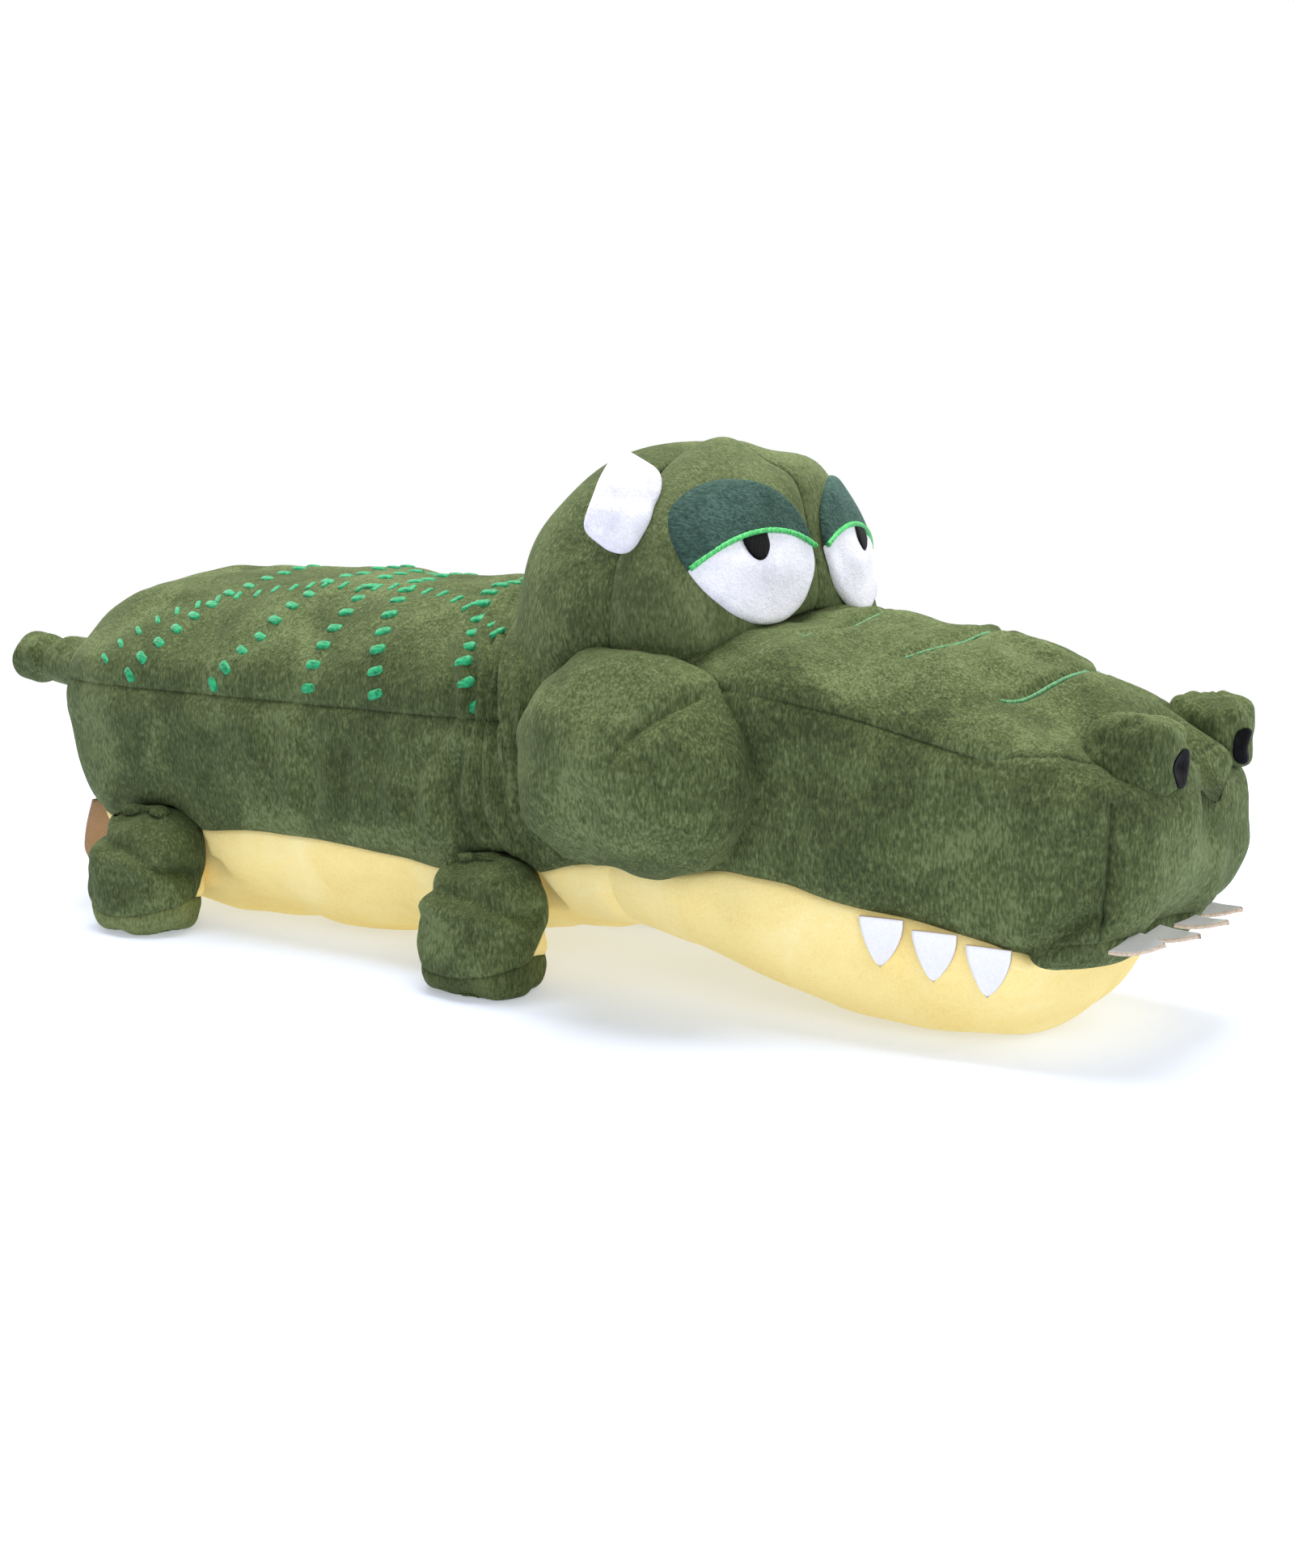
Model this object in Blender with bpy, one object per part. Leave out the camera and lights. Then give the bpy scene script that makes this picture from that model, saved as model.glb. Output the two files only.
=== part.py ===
"""A plush crocodile that lies on its belly, jaw and four soles. +X is towards the nose, +Y is its left.

It is sewn from fabric covers round fillings: a torso, a head with a long muzzle, four legs and a tail.
Each cover is a thin shell cut from the swelling form that it clothes, and its filling fits inside.
"""

import math

import bmesh
import bpy
import numpy as np
from mathutils import Matrix, Vector

# Fabric and sewing
COVER = 0.003  # plush with its pile
SEAM_GAP = 0.0003  # between two pieces that are sewn together
SKIN_CLEARANCE = 0.0007  # between a moving limb and what it is sewn to
FLOOR_SINK = 0.0005  # depth of each flat that rests on the floor
MERGE = 0.000001
REACH = 0.6  # overrun of a cutter past what it cuts
HEAD_MARGINS = {"outside": 0.0, "lining": -COVER, "stuffing": -COVER - SEAM_GAP, "room": SEAM_GAP}

# Torso
TORSO_REAR_X = -0.279
NECK_X = 0.046  # axis that the head turns on
TORSO_HALF_WIDTH = 0.100
TORSO_SEAM_HEIGHT = 0.135
TORSO_TOP_HEIGHT = 0.199
BELLY_SEAM_HEIGHT = 0.057
TORSO_REAR_ROUNDING = 0.100
NECK_LIFT = 0.012  # height of the belly at the neck
BELLY_RISE_X = -0.044  # where the belly starts to rise
TORSO_STRAIGHT_SHARES = (0.0, 0.3, 0.6, 0.8, 1.0)
REAR_WIDTH_POWER = 3.5
REAR_HEIGHT_POWER = 2.5
TORSO_UPPER_POWER = 2.0
TORSO_LOWER_POWER = 2.6
NECK_FACETS = 9  # of the quarter turn, fine enough that the head clears them as it turns

# Tail
TAIL_DROP = 0.017  # of the tail's root below the side seam
TAIL_HEIGHT = TORSO_SEAM_HEIGHT - TAIL_DROP
TAIL_BALL_RADIUS = 0.021
TAIL_RADIUS = 0.0175
TAIL_LENGTH = 0.1235
TAIL_RISE = 0.013
TAIL_MOUTH_DEPTH = 0.006  # of the opening that the filling goes in through
TAIL_BALL_TURNS = (0, 30, 60)
TAIL_ALONG_SHARES = (0.0, 0.14, 0.3, 0.5, 0.66, 0.74, 0.84, 0.93, 0.98, 1.0)
TAIL_RADIUS_SHARES = (1.06, 1.06, 1.02, 0.97, 0.93, 0.88, 0.93, 0.78, 0.46, 0.0)

# Legs
LEG_FRONT_X = 0.062
LEG_REAR_X = -0.180
LEG_INNER_Y = 0.076
LEG_OUTER_Y = 0.128
HIP_HEIGHT = 0.042
HIP_RADIUS = 0.031
FOOT_HEIGHT_SHARES = (0.0, 0.05, 0.2, 0.42, 0.75, 1.0)
FOOT_WIDTH_SHARES = (0.82, 0.97, 1.06, 1.03, 0.96, 1.0)
SOLE_HEIGHT = 0.012
LEG_SWING = math.radians(15)
LEG_POWER = 2.6
LEG_TOP_TURNS = (30, 60, 90)
LEG_TOP_DEPTH_POWER = 0.5

# Head
HEAD_AHEAD = 0.085  # of the neck's axis
HEAD_RISE = 0.033  # over the torso's side seam
HEAD_X = NECK_X + HEAD_AHEAD
HEAD_Z = TORSO_SEAM_HEIGHT + HEAD_RISE
HEAD_FRONT = 0.066
HEAD_REAR = 0.088
HEAD_HALF_WIDTH = 0.103
HEAD_HALF_HEIGHT = 0.103
HEAD_POWER = 2.35
FACE_POWER = 3.2  # of the head's profile ahead of its middle
FACE_SEAM_AHEAD = 0.008
FACE_SEAM_X = HEAD_X + FACE_SEAM_AHEAD
CHEEK_AHEAD = 0.022
CHEEK_DROP = 0.046
CHEEK_X = HEAD_X + CHEEK_AHEAD
CHEEK_Y = 0.098
CHEEK_Z = HEAD_Z - CHEEK_DROP
CHEEK_HALF_LENGTH = 0.066
CHEEK_HALF_WIDTH = 0.043
CHEEK_HALF_HEIGHT = 0.056

# Muzzle: values along its length, as shares of the sizes that they follow
MUZZLE_BEHIND = 0.025  # of its rear end, inside the head
MUZZLE_LENGTH = 0.292
MUZZLE_REAR_X = HEAD_X - MUZZLE_BEHIND
MUZZLE_FRONT_X = MUZZLE_REAR_X + MUZZLE_LENGTH
MUZZLE_HALF_WIDTH = 0.100
SNOUT_SIDE_INNER_Y = 0.033  # the snout's side panels lie outside this line
MUZZLE_SEAM_HEIGHT = 0.160
MUZZLE_TOP_HEIGHT = 0.191
THROAT_LIFT = 0.030
MOUTH_HEIGHT = 0.072
MUZZLE_REAR_ROUNDING = 0.040
MUZZLE_FRONT_ROUNDING = 0.060
MUZZLE_STRAIGHT_SHARES = (0.25, 0.45, 0.6, 0.8, 1.0)
MUZZLE_ROUNDING_SHARES = (0.35, 0.58, 0.75, 0.88, 0.96, 1.0)
MUZZLE_ALONG_SHARES = (0.0, 0.31, 0.50, 0.60, 0.795, 1.0)
MUZZLE_WIDTH_SHARES = (0.96, 1.0, 0.94, 0.90, 0.84, 0.82)
MUZZLE_SEAM_SHARES = (1.0, 1.0, 0.955, 0.9125, 0.825, 0.745)
MUZZLE_TOP_SHARES = (1.0, 1.0, 0.99, 0.97, 0.88, 0.79)
THROAT_LIFT_SHARES = (1.0, 0.6, 0.0, 0.0, 0.0, 0.0)
MOUTH_HEIGHT_SHARES = (0.86, 1.0, 0.93, 0.86, 0.735, 0.65)
FRONT_WIDTH_POWER = 4.5
FRONT_UPPER_POWER = 3.0
FRONT_LOWER_POWER = 1.5
MUZZLE_UPPER_POWER = 1.5
MUZZLE_LOWER_POWER = 3.8
FRONT_PANEL_LENGTH = 0.028
LIP_LENGTH = 0.044
FRONT_SEAM_X = MUZZLE_FRONT_X - FRONT_PANEL_LENGTH
LIP_REAR_X = MUZZLE_FRONT_X - LIP_LENGTH
LIP_TOP_HEIGHT = 0.0575

# Eyes
EYE_RISE = 0.0515
EYE_Y = 0.046
EYE_Z = HEAD_Z + EYE_RISE
EYE_HALF_WIDTH = 0.040
EYE_HALF_HEIGHT = 0.034
EYE_THICKNESS = 0.002
LID_ARC_INWARD = 0.0065  # of the arc's centre from the eye's
LID_ARC_DROP = 0.0599
LID_ARC_Y = EYE_Y - LID_ARC_INWARD
LID_ARC_Z = EYE_Z - LID_ARC_DROP
LID_ARC_RADIUS = 0.0693
PUPIL_OUTWARD = 0.004
PUPIL_RISE = 0.006
PUPIL_Y = EYE_Y + PUPIL_OUTWARD
PUPIL_Z = EYE_Z + PUPIL_RISE
PUPIL_RADIUS = 0.008
PUPIL_THICKNESS = 0.001

# Nostrils
NOSTRIL_SETBACK = 0.021  # of the bump's centre behind the muzzle's front
NOSTRIL_BUMP_X = MUZZLE_FRONT_X - NOSTRIL_SETBACK
NOSTRIL_BUMP_Y = 0.044
NOSTRIL_BUMP_Z = 0.138
NOSTRIL_BUMP_LENGTH = 0.0215
NOSTRIL_BUMP_RADIUS = 0.021
NOSTRIL_INWARD = 0.005
NOSTRIL_DROP = 0.002
NOSTRIL_Y = NOSTRIL_BUMP_Y - NOSTRIL_INWARD
NOSTRIL_Z = NOSTRIL_BUMP_Z - NOSTRIL_DROP
NOSTRIL_HALF_WIDTH = 0.005
NOSTRIL_HALF_HEIGHT = 0.0075

# Ears
EAR_BASE_LENGTH = 0.046
EAR_PROJECTION = 0.028
EAR_THICKNESS = 0.009
EAR_LEAN_BACK = math.radians(34)  # of the ear behind a straight sideways line
EAR_POWER = 2.6
EAR_PRESS = 0.0021  # of the pad's rounded edge, against a head whose facets lie inside its curve
EAR_RISE = 0.069
EAR_HEIGHT = HEAD_Z + EAR_RISE
EAR_AHEAD = 0.007  # of the face seam
EAR_X = FACE_SEAM_X + EAR_AHEAD

# Felt teeth
FELT = 0.002
SIDE_TOOTH_WIDTH = 0.020
SIDE_TOOTH_LENGTH = 0.022
SIDE_TOOTH_PITCH = 0.025
SIDE_TOOTH_COUNT = 3
SIDE_TOOTH_SETBACK = 0.0685  # of the foremost one behind the muzzle's front
FRONT_TOOTH_WIDTH = 0.018
FRONT_TOOTH_LENGTH = 0.021
FRONT_TOOTH_PITCH = 0.026
FRONT_TOOTH_COUNT = 4
TOOTH_ALONG_SHARES = (0.0, 0.3, 0.55, 0.75, 0.9, 1.0)
TOOTH_WIDTH_SHARES = (1.0, 0.96, 0.8, 0.58, 0.3, 0.0)

GREEN = (0.085, 0.125, 0.040)
LIGHT_GREEN = (0.18, 0.24, 0.08)
YELLOW = (0.95, 0.78, 0.30)
TEAL = (0.026, 0.070, 0.052)
WHITE = (0.90, 0.89, 0.96)
BLACK = (0.012, 0.012, 0.014)
FILLING = (0.88, 0.88, 0.85)

SIDES = {"right": -1, "left": 1}


def material(name, colour, roughness):
    """A Principled finish, made once and shared by name."""
    found = bpy.data.materials.get(name)
    if found:
        return found
    made = bpy.data.materials.new(name)
    made.use_nodes = True
    shader = made.node_tree.nodes["Principled BSDF"]
    shader.inputs["Base Color"].default_value = (*colour, 1.0)
    shader.inputs["Roughness"].default_value = roughness
    shader.inputs["Metallic"].default_value = 0.0
    made.diffuse_color = (*colour, 1.0)
    return made


def green_plush():
    return material("green_plush", GREEN, 0.9)


def yellow_plush():
    return material("yellow_plush", YELLOW, 0.85)


def white_plush():
    return material("white_plush", WHITE, 0.85)


def polyester():
    return material("polyester_filling", FILLING, 1.0)


def new_object(name, mesh):
    made = bpy.data.objects.new(name, mesh)
    bpy.context.scene.collection.objects.link(made)
    return made


def skin(name, rings):
    """A closed mesh over rings of points, each joined to the next, with its ends filled."""
    count, around = len(rings), len(rings[0])
    points = np.concatenate(rings)
    base = np.arange(count - 1)[:, None] * around
    step = np.arange(around)
    following = (step + 1) % around
    corners = [base + step, base + following, base + around + following, base + around + step]
    # Both triangles of each patch are given, so that a form and its lining fold along the same lines.
    triangles = np.concatenate(
        [np.stack([corners[i] for i in picked], axis=-1).reshape(-1, 3) for picked in ((0, 1, 2), (0, 2, 3))]
    )
    faces = [*triangles.tolist(), step[::-1].tolist(), (step + (count - 1) * around).tolist()]
    mesh = bpy.data.meshes.new(name)
    mesh.from_pydata(points.tolist(), [], faces)
    made = bmesh.new()
    made.from_mesh(mesh)
    bmesh.ops.remove_doubles(made, verts=made.verts, dist=MERGE)
    bmesh.ops.recalc_face_normals(made, faces=made.faces)
    made.to_mesh(mesh)
    made.free()
    mesh.shade_smooth()
    mesh.set_sharp_from_angle(angle=math.radians(40))
    return new_object(name, mesh)


def signed_power(values, power):
    """Cosines or sines bent from a circle towards a box as the power grows past 2."""
    return np.sign(values) * np.abs(values) ** (2 / power)


def rounding(shares, power):
    """What is left of a size at each share of a rounded end: 1 where it starts, 0 at its tip."""
    return np.clip(1 - np.asarray(shares, float) ** power, 0, None) ** (1 / power)


def section(half_width, up, down, powers, around):
    """Sideways and upward offsets of a ring: an upper half and a lower half that meet at the sides."""
    angles = np.linspace(0, 2 * math.pi, around, endpoint=False)
    sideways = np.where(
        np.sin(angles) >= 0,
        half_width * signed_power(np.cos(angles), powers[0]),
        half_width * signed_power(np.cos(angles), powers[1]),
    )
    upward = np.where(
        np.sin(angles) >= 0,
        up * signed_power(np.sin(angles), powers[0]),
        down * signed_power(np.sin(angles), powers[1]),
    )
    return sideways, upward


def ellipsoid(
    name, centre, front, rear, half_width, half_height, power=2.0, rings=12, around=20, front_power=None
):
    """A swelling form whose poles are its front and rear ends. Its front half can be boxier."""
    made = []
    for turn in np.linspace(0, math.pi, rings + 1):
        along = float(signed_power(np.cos(turn), power))
        if along > 0 and front_power:
            along = float(signed_power(np.cos(turn), front_power))
        across = float(abs(signed_power(np.sin(turn), power)))
        sideways, upward = section(
            half_width * across, half_height * across, half_height * across, (power, power), around
        )
        x = centre[0] + (front if along > 0 else rear) * along
        made.append(np.column_stack([np.full(around, x), centre[1] + sideways, centre[2] + upward]))
    return skin(name, made)


def prism(name, outline, low, high, axis="Y"):
    """An outline extruded between two places on an axis: (x, z) pairs along Y, or (y, z) pairs along X."""
    flat = np.asarray(outline, float)
    ends = []
    for place in (low, high):
        level = np.full(len(flat), place)
        columns = [flat[:, 0], level, flat[:, 1]] if axis == "Y" else [level, flat[:, 0], flat[:, 1]]
        ends.append(np.column_stack(columns))
    return skin(name, ends)


def ellipse_outline(centre, half_width, half_height, count=24):
    angles = np.linspace(0, 2 * math.pi, count, endpoint=False)
    return [
        (centre[0] + half_width * math.cos(a), centre[1] + half_height * math.sin(a)) for a in angles
    ]


def block(name, low, high):
    outline = [(low[0], low[2]), (high[0], low[2]), (high[0], high[2]), (low[0], high[2])]
    return prism(name, outline, low[1], high[1])


def placed(obj, across, through, along, place):
    """Turns and moves a mesh so that its x, y and z run along three directions from a place."""
    turn = Matrix((across, through, along)).transposed().to_4x4()
    obj.data.transform(Matrix.Translation(Vector(place)) @ turn)
    outward = bmesh.new()
    outward.from_mesh(obj.data)
    bmesh.ops.recalc_face_normals(outward, faces=outward.faces)
    outward.to_mesh(obj.data)
    outward.free()
    return obj


def as_cutter(obj):
    obj.hide_render = True
    obj.display_type = "WIRE"
    return obj


def shape(obj, operation, *cutters):
    for cutter in cutters:
        boolean = obj.modifiers.new(cutter.name, "BOOLEAN")
        boolean.operation = operation
        boolean.solver = "EXACT"
        boolean.object = cutter
    return obj


def dressed(obj, finish, carrier=None):
    """Gives a piece its finish and hangs it on the empty of the body that it moves with."""
    obj.data.materials.append(finish)
    if carrier:
        obj.parent = carrier
        obj.location = -carrier.location
    return obj


def pivot(name, place):
    made = bpy.data.objects.new(name, None)
    made.location = Vector(place)
    bpy.context.scene.collection.objects.link(made)
    return made


def cover(name, outer, inner, region, cutters, finish, carrier=None):
    """The shell between two forms, kept inside a region and cut back by its neighbours."""
    made = new_object(name, outer.data.copy())
    shape(made, "INTERSECT", region)
    shape(made, "DIFFERENCE", inner, *cutters)
    return dressed(made, finish, carrier)


def filled(name, form, cutters, carrier=None):
    made = new_object(name, form.data.copy())
    shape(made, "DIFFERENCE", *cutters)
    return dressed(made, polyester(), carrier)


def belly_lift(x):
    """Height of the belly over the floor, which rises in a smooth step towards the neck."""
    share = np.clip((x - BELLY_RISE_X) / (NECK_X - BELLY_RISE_X), 0, 1)
    return NECK_LIFT * share**2 * (3 - 2 * share)


def torso_form(name, grow, around=24):
    """The torso grown by a margin: a rounded rear, a straight middle, and a front turned about the neck."""
    rounding_length = TORSO_REAR_ROUNDING + grow
    straight_x = TORSO_REAR_X + TORSO_REAR_ROUNDING
    stations = [
        (straight_x - rounding_length * share, share)
        for share in np.sin(np.linspace(math.pi / 2, 0, 7))
    ]
    stations += [
        (straight_x + (NECK_X - straight_x) * share, 0.0) for share in TORSO_STRAIGHT_SHARES[1:]
    ]
    rings = []
    for x, share in stations:
        height = float(rounding(share, REAR_HEIGHT_POWER))
        sideways, upward = section(
            (TORSO_HALF_WIDTH + grow) * float(rounding(share, REAR_WIDTH_POWER)),
            (TORSO_TOP_HEIGHT - TORSO_SEAM_HEIGHT + grow) * height,
            (TORSO_SEAM_HEIGHT + FLOOR_SINK - belly_lift(x) + grow) * height,
            (TORSO_UPPER_POWER, TORSO_LOWER_POWER),
            around,
        )
        rings.append(np.column_stack([np.full(around, x), sideways, TORSO_SEAM_HEIGHT + upward]))
    last = rings[-1]
    for turn in np.linspace(0, math.pi / 2, NECK_FACETS + 1)[1:]:
        ahead = NECK_X + np.abs(last[:, 1]) * math.sin(turn)
        rings.append(np.column_stack([ahead, last[:, 1] * math.cos(turn), last[:, 2]]))
    return as_cutter(skin(name, rings))


def torso_pieces(floor, leg_notches, tail_socket):
    outer = torso_form("torso_outside", 0.0)
    inner = torso_form("torso_lining", -COVER, around=20)
    stuffing = torso_form("torso_stuffing", -COVER - SEAM_GAP, around=20)
    half = SEAM_GAP / 2
    above = as_cutter(block("back_region", (-REACH, -REACH, TORSO_SEAM_HEIGHT + half), (REACH, REACH, REACH)))
    below = as_cutter(block("belly_region", (-REACH, -REACH, 0.0), (REACH, REACH, BELLY_SEAM_HEIGHT - half)))
    cuts = [*leg_notches, tail_socket]
    cover("back_panel", outer, inner, above, [tail_socket], green_plush())
    for side, sign in SIDES.items():
        edges = sorted((sign * half, sign * REACH))
        region = as_cutter(
            block(
                f"flank_{side}_region",
                (-REACH, edges[0], BELLY_SEAM_HEIGHT + half),
                (REACH, edges[1], TORSO_SEAM_HEIGHT - half),
            )
        )
        cover(f"flank_{side}", outer, inner, region, cuts, green_plush())
    cover("belly_panel", outer, inner, below, leg_notches, yellow_plush())
    filled("body_filling", stuffing, [floor, *cuts])


def tail_form(name, grow, around=12):
    """A tube of rings from the ball at its root, which the torso's socket holds, to its rounded tip."""
    rings = []
    ball = TAIL_BALL_RADIUS + grow
    for turn in np.radians(TAIL_BALL_TURNS):
        angles = np.linspace(0, 2 * math.pi, around, endpoint=False)
        x = TORSO_REAR_X + ball * math.cos(turn)
        radius = ball * math.sin(turn)
        rings.append(
            np.column_stack(
                [np.full(around, x), radius * np.cos(angles), TAIL_HEIGHT + radius * np.sin(angles)]
            )
        )
    for along, size in zip(TAIL_ALONG_SHARES, TAIL_RADIUS_SHARES):
        angles = np.linspace(0, 2 * math.pi, around, endpoint=False)
        radius = max(TAIL_RADIUS * size + grow, 0.0) if along < 1 else 0.0
        x = TORSO_REAR_X - (TAIL_LENGTH + grow) * along
        z = TAIL_HEIGHT + TAIL_RISE * along
        rings.append(
            np.column_stack([np.full(around, x), radius * np.cos(angles), z + radius * np.sin(angles)])
        )
    return as_cutter(skin(name, rings))


def tail_pieces():
    root = pivot("tail_root", (TORSO_REAR_X, 0.0, TAIL_HEIGHT))
    outer = tail_form("tail_outside", 0.0)
    inner = tail_form("tail_lining", -COVER)
    stuffing = tail_form("tail_stuffing", -COVER - SEAM_GAP)
    # The cover is open at its root, where the filling goes in.
    mouth = as_cutter(
        block(
            "tail_mouth",
            (TORSO_REAR_X + TAIL_BALL_RADIUS - TAIL_MOUTH_DEPTH, -REACH, 0.0),
            (REACH, REACH, REACH),
        )
    )
    made = new_object("tail_cover", outer.data.copy())
    shape(made, "DIFFERENCE", inner, mouth)
    dressed(made, green_plush(), root)
    filled("tail_filling", stuffing, [mouth], root)


def leg_form(name, leg_x, sign, grow, around=12):
    """A stub whose top is round about the hip's axis, so that it turns inside the torso's notch."""
    middle = (LEG_INNER_Y + LEG_OUTER_Y) / 2
    depth = (LEG_OUTER_Y - LEG_INNER_Y) / 2 + grow
    angles = np.linspace(0, 2 * math.pi, around, endpoint=False)
    levels = []
    for height, width in zip(FOOT_HEIGHT_SHARES, FOOT_WIDTH_SHARES):
        z = HIP_HEIGHT * height - (FLOOR_SINK + grow) * (1 - height)
        levels.append((z, HIP_RADIUS * width + grow, depth * width))
    for turn in np.radians(LEG_TOP_TURNS):
        radius = HIP_RADIUS + grow
        half_depth = depth * math.cos(turn) ** LEG_TOP_DEPTH_POWER
        levels.append((HIP_HEIGHT + radius * math.sin(turn), radius * math.cos(turn), half_depth))
    rings = []
    for z, half_length, half_depth in levels:
        x = leg_x + half_length * signed_power(np.cos(angles), LEG_POWER)
        y = sign * middle + half_depth * signed_power(np.sin(angles), LEG_POWER)
        rings.append(np.column_stack([x, y, np.full(around, z)]))
    return as_cutter(skin(name, rings))


def leg_notch(name, leg_x, sign):
    """The room that a leg sweeps in the torso: round about the hip, and flared below it."""
    radius = HIP_RADIUS + SKIN_CLEARANCE
    foot = HIP_HEIGHT + 2 * FLOOR_SINK
    half_length = HIP_RADIUS * max(FOOT_WIDTH_SHARES)
    flare = half_length * math.cos(LEG_SWING) + foot * math.sin(LEG_SWING) + SKIN_CLEARANCE
    outline = [
        (leg_x + radius * math.cos(a), HIP_HEIGHT + radius * math.sin(a))
        for a in np.linspace(0, math.pi, 15)
    ]
    outline += [(leg_x - flare, -2 * FLOOR_SINK), (leg_x + flare, -2 * FLOOR_SINK)]
    wall = sign * (LEG_INNER_Y - SKIN_CLEARANCE)
    return as_cutter(prism(name, outline, *sorted((wall, sign * REACH))))


def leg_pieces(end, leg_x, side, floor):
    sign = SIDES[side]
    name = f"leg_{end}_{side}"
    middle = sign * (LEG_INNER_Y + LEG_OUTER_Y) / 2
    hip = pivot(f"{name}_hip", (leg_x, middle, HIP_HEIGHT))
    outer = leg_form(f"{name}_outside", leg_x, sign, 0.0)
    inner = leg_form(f"{name}_lining", leg_x, sign, -COVER)
    stuffing = leg_form(f"{name}_stuffing", leg_x, sign, -COVER - SEAM_GAP)
    half = SEAM_GAP / 2
    for piece, direction, finish in (("outer", sign, green_plush()), ("inner", -sign, yellow_plush())):
        edges = sorted((middle + direction * half, middle + direction * REACH))
        region = as_cutter(
            block(
                f"{name}_{piece}_region",
                (-REACH, edges[0], SOLE_HEIGHT + half),
                (REACH, edges[1], REACH),
            )
        )
        cover(f"{name}_{piece}", outer, inner, region, [], finish, hip)
    ground = as_cutter(
        block(f"{name}_sole_region", (-REACH, -REACH, 0.0), (REACH, REACH, SOLE_HEIGHT - half))
    )
    cover(f"{name}_sole", outer, inner, ground, [], material("sole_plush", LIGHT_GREEN, 0.9), hip)
    filled(f"{name}_filling", stuffing, [floor], hip)


def head_form(name, grow, rings=12, around=24):
    return as_cutter(
        ellipsoid(
            name,
            (HEAD_X, 0.0, HEAD_Z),
            HEAD_FRONT + grow,
            HEAD_REAR + grow,
            HEAD_HALF_WIDTH + grow,
            HEAD_HALF_HEIGHT + grow,
            HEAD_POWER,
            rings,
            around,
            FACE_POWER,
        )
    )


def cheek_form(name, sign, grow, rings=10, around=16):
    return as_cutter(
        ellipsoid(
            name,
            (CHEEK_X, sign * CHEEK_Y, CHEEK_Z),
            CHEEK_HALF_LENGTH + grow,
            CHEEK_HALF_LENGTH + grow,
            CHEEK_HALF_WIDTH + grow,
            CHEEK_HALF_HEIGHT + grow,
            rings=rings,
            around=around,
        )
    )


def along_muzzle(x, size, shares):
    """A size at a place along the muzzle, from its shares."""
    share = (x - MUZZLE_REAR_X) / (MUZZLE_FRONT_X - MUZZLE_REAR_X)
    return size * float(np.interp(share, MUZZLE_ALONG_SHARES, shares))


def seam_height(x):
    return along_muzzle(x, MUZZLE_SEAM_HEIGHT, MUZZLE_SEAM_SHARES)


def mouth_height(x):
    return along_muzzle(x, MOUTH_HEIGHT, MOUTH_HEIGHT_SHARES)


def muzzle_section(x, rear_share, front_share, grow):
    """Half width, height over the side seam and depth under it, at a place along the muzzle."""
    half_width = along_muzzle(x, MUZZLE_HALF_WIDTH, MUZZLE_WIDTH_SHARES) + grow
    half_width *= float(rounding(rear_share, 2.0)) * float(rounding(front_share, FRONT_WIDTH_POWER))
    up = along_muzzle(x, MUZZLE_TOP_HEIGHT, MUZZLE_TOP_SHARES) - seam_height(x) + grow
    lift = along_muzzle(x, THROAT_LIFT, THROAT_LIFT_SHARES)
    down = seam_height(x) + FLOOR_SINK - lift + grow
    return (
        half_width,
        up * float(rounding(front_share, FRONT_UPPER_POWER)),
        down * float(rounding(front_share, FRONT_LOWER_POWER)),
    )


def muzzle_form(name, grow, around=20):
    """The muzzle and jaw grown by a margin, box-like, with a rounded front."""
    rear_end = MUZZLE_REAR_X + MUZZLE_REAR_ROUNDING
    front_end = MUZZLE_FRONT_X - MUZZLE_FRONT_ROUNDING
    rings = []
    stations = [
        (rear_end - (MUZZLE_REAR_ROUNDING + grow) * share, share, 0.0)
        for share in np.sin(np.linspace(math.pi / 2, 0, 4))
    ]
    stations += [
        (rear_end + (front_end - rear_end) * share, 0.0, 0.0) for share in MUZZLE_STRAIGHT_SHARES
    ]
    stations += [
        (front_end + (MUZZLE_FRONT_ROUNDING + grow) * share, 0.0, share)
        for share in MUZZLE_ROUNDING_SHARES
    ]
    for x, rear_share, front_share in stations:
        sideways, upward = section(
            *muzzle_section(x, rear_share, front_share, grow),
            (MUZZLE_UPPER_POWER, MUZZLE_LOWER_POWER),
            around,
        )
        rings.append(np.column_stack([np.full(around, x), sideways, seam_height(x) + upward]))
    return as_cutter(skin(name, rings))


def muzzle_line(height, shift, first=-REACH, last=REACH):
    """Points (x, z) of a seam along the muzzle, moved up or down, between two places."""
    length = MUZZLE_FRONT_X - MUZZLE_REAR_X
    places = [MUZZLE_REAR_X + length * share for share in MUZZLE_ALONG_SHARES]
    places = [first, *[x for x in places if first < x < last], last]
    return [(x, height(x) + shift) for x in places]


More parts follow.
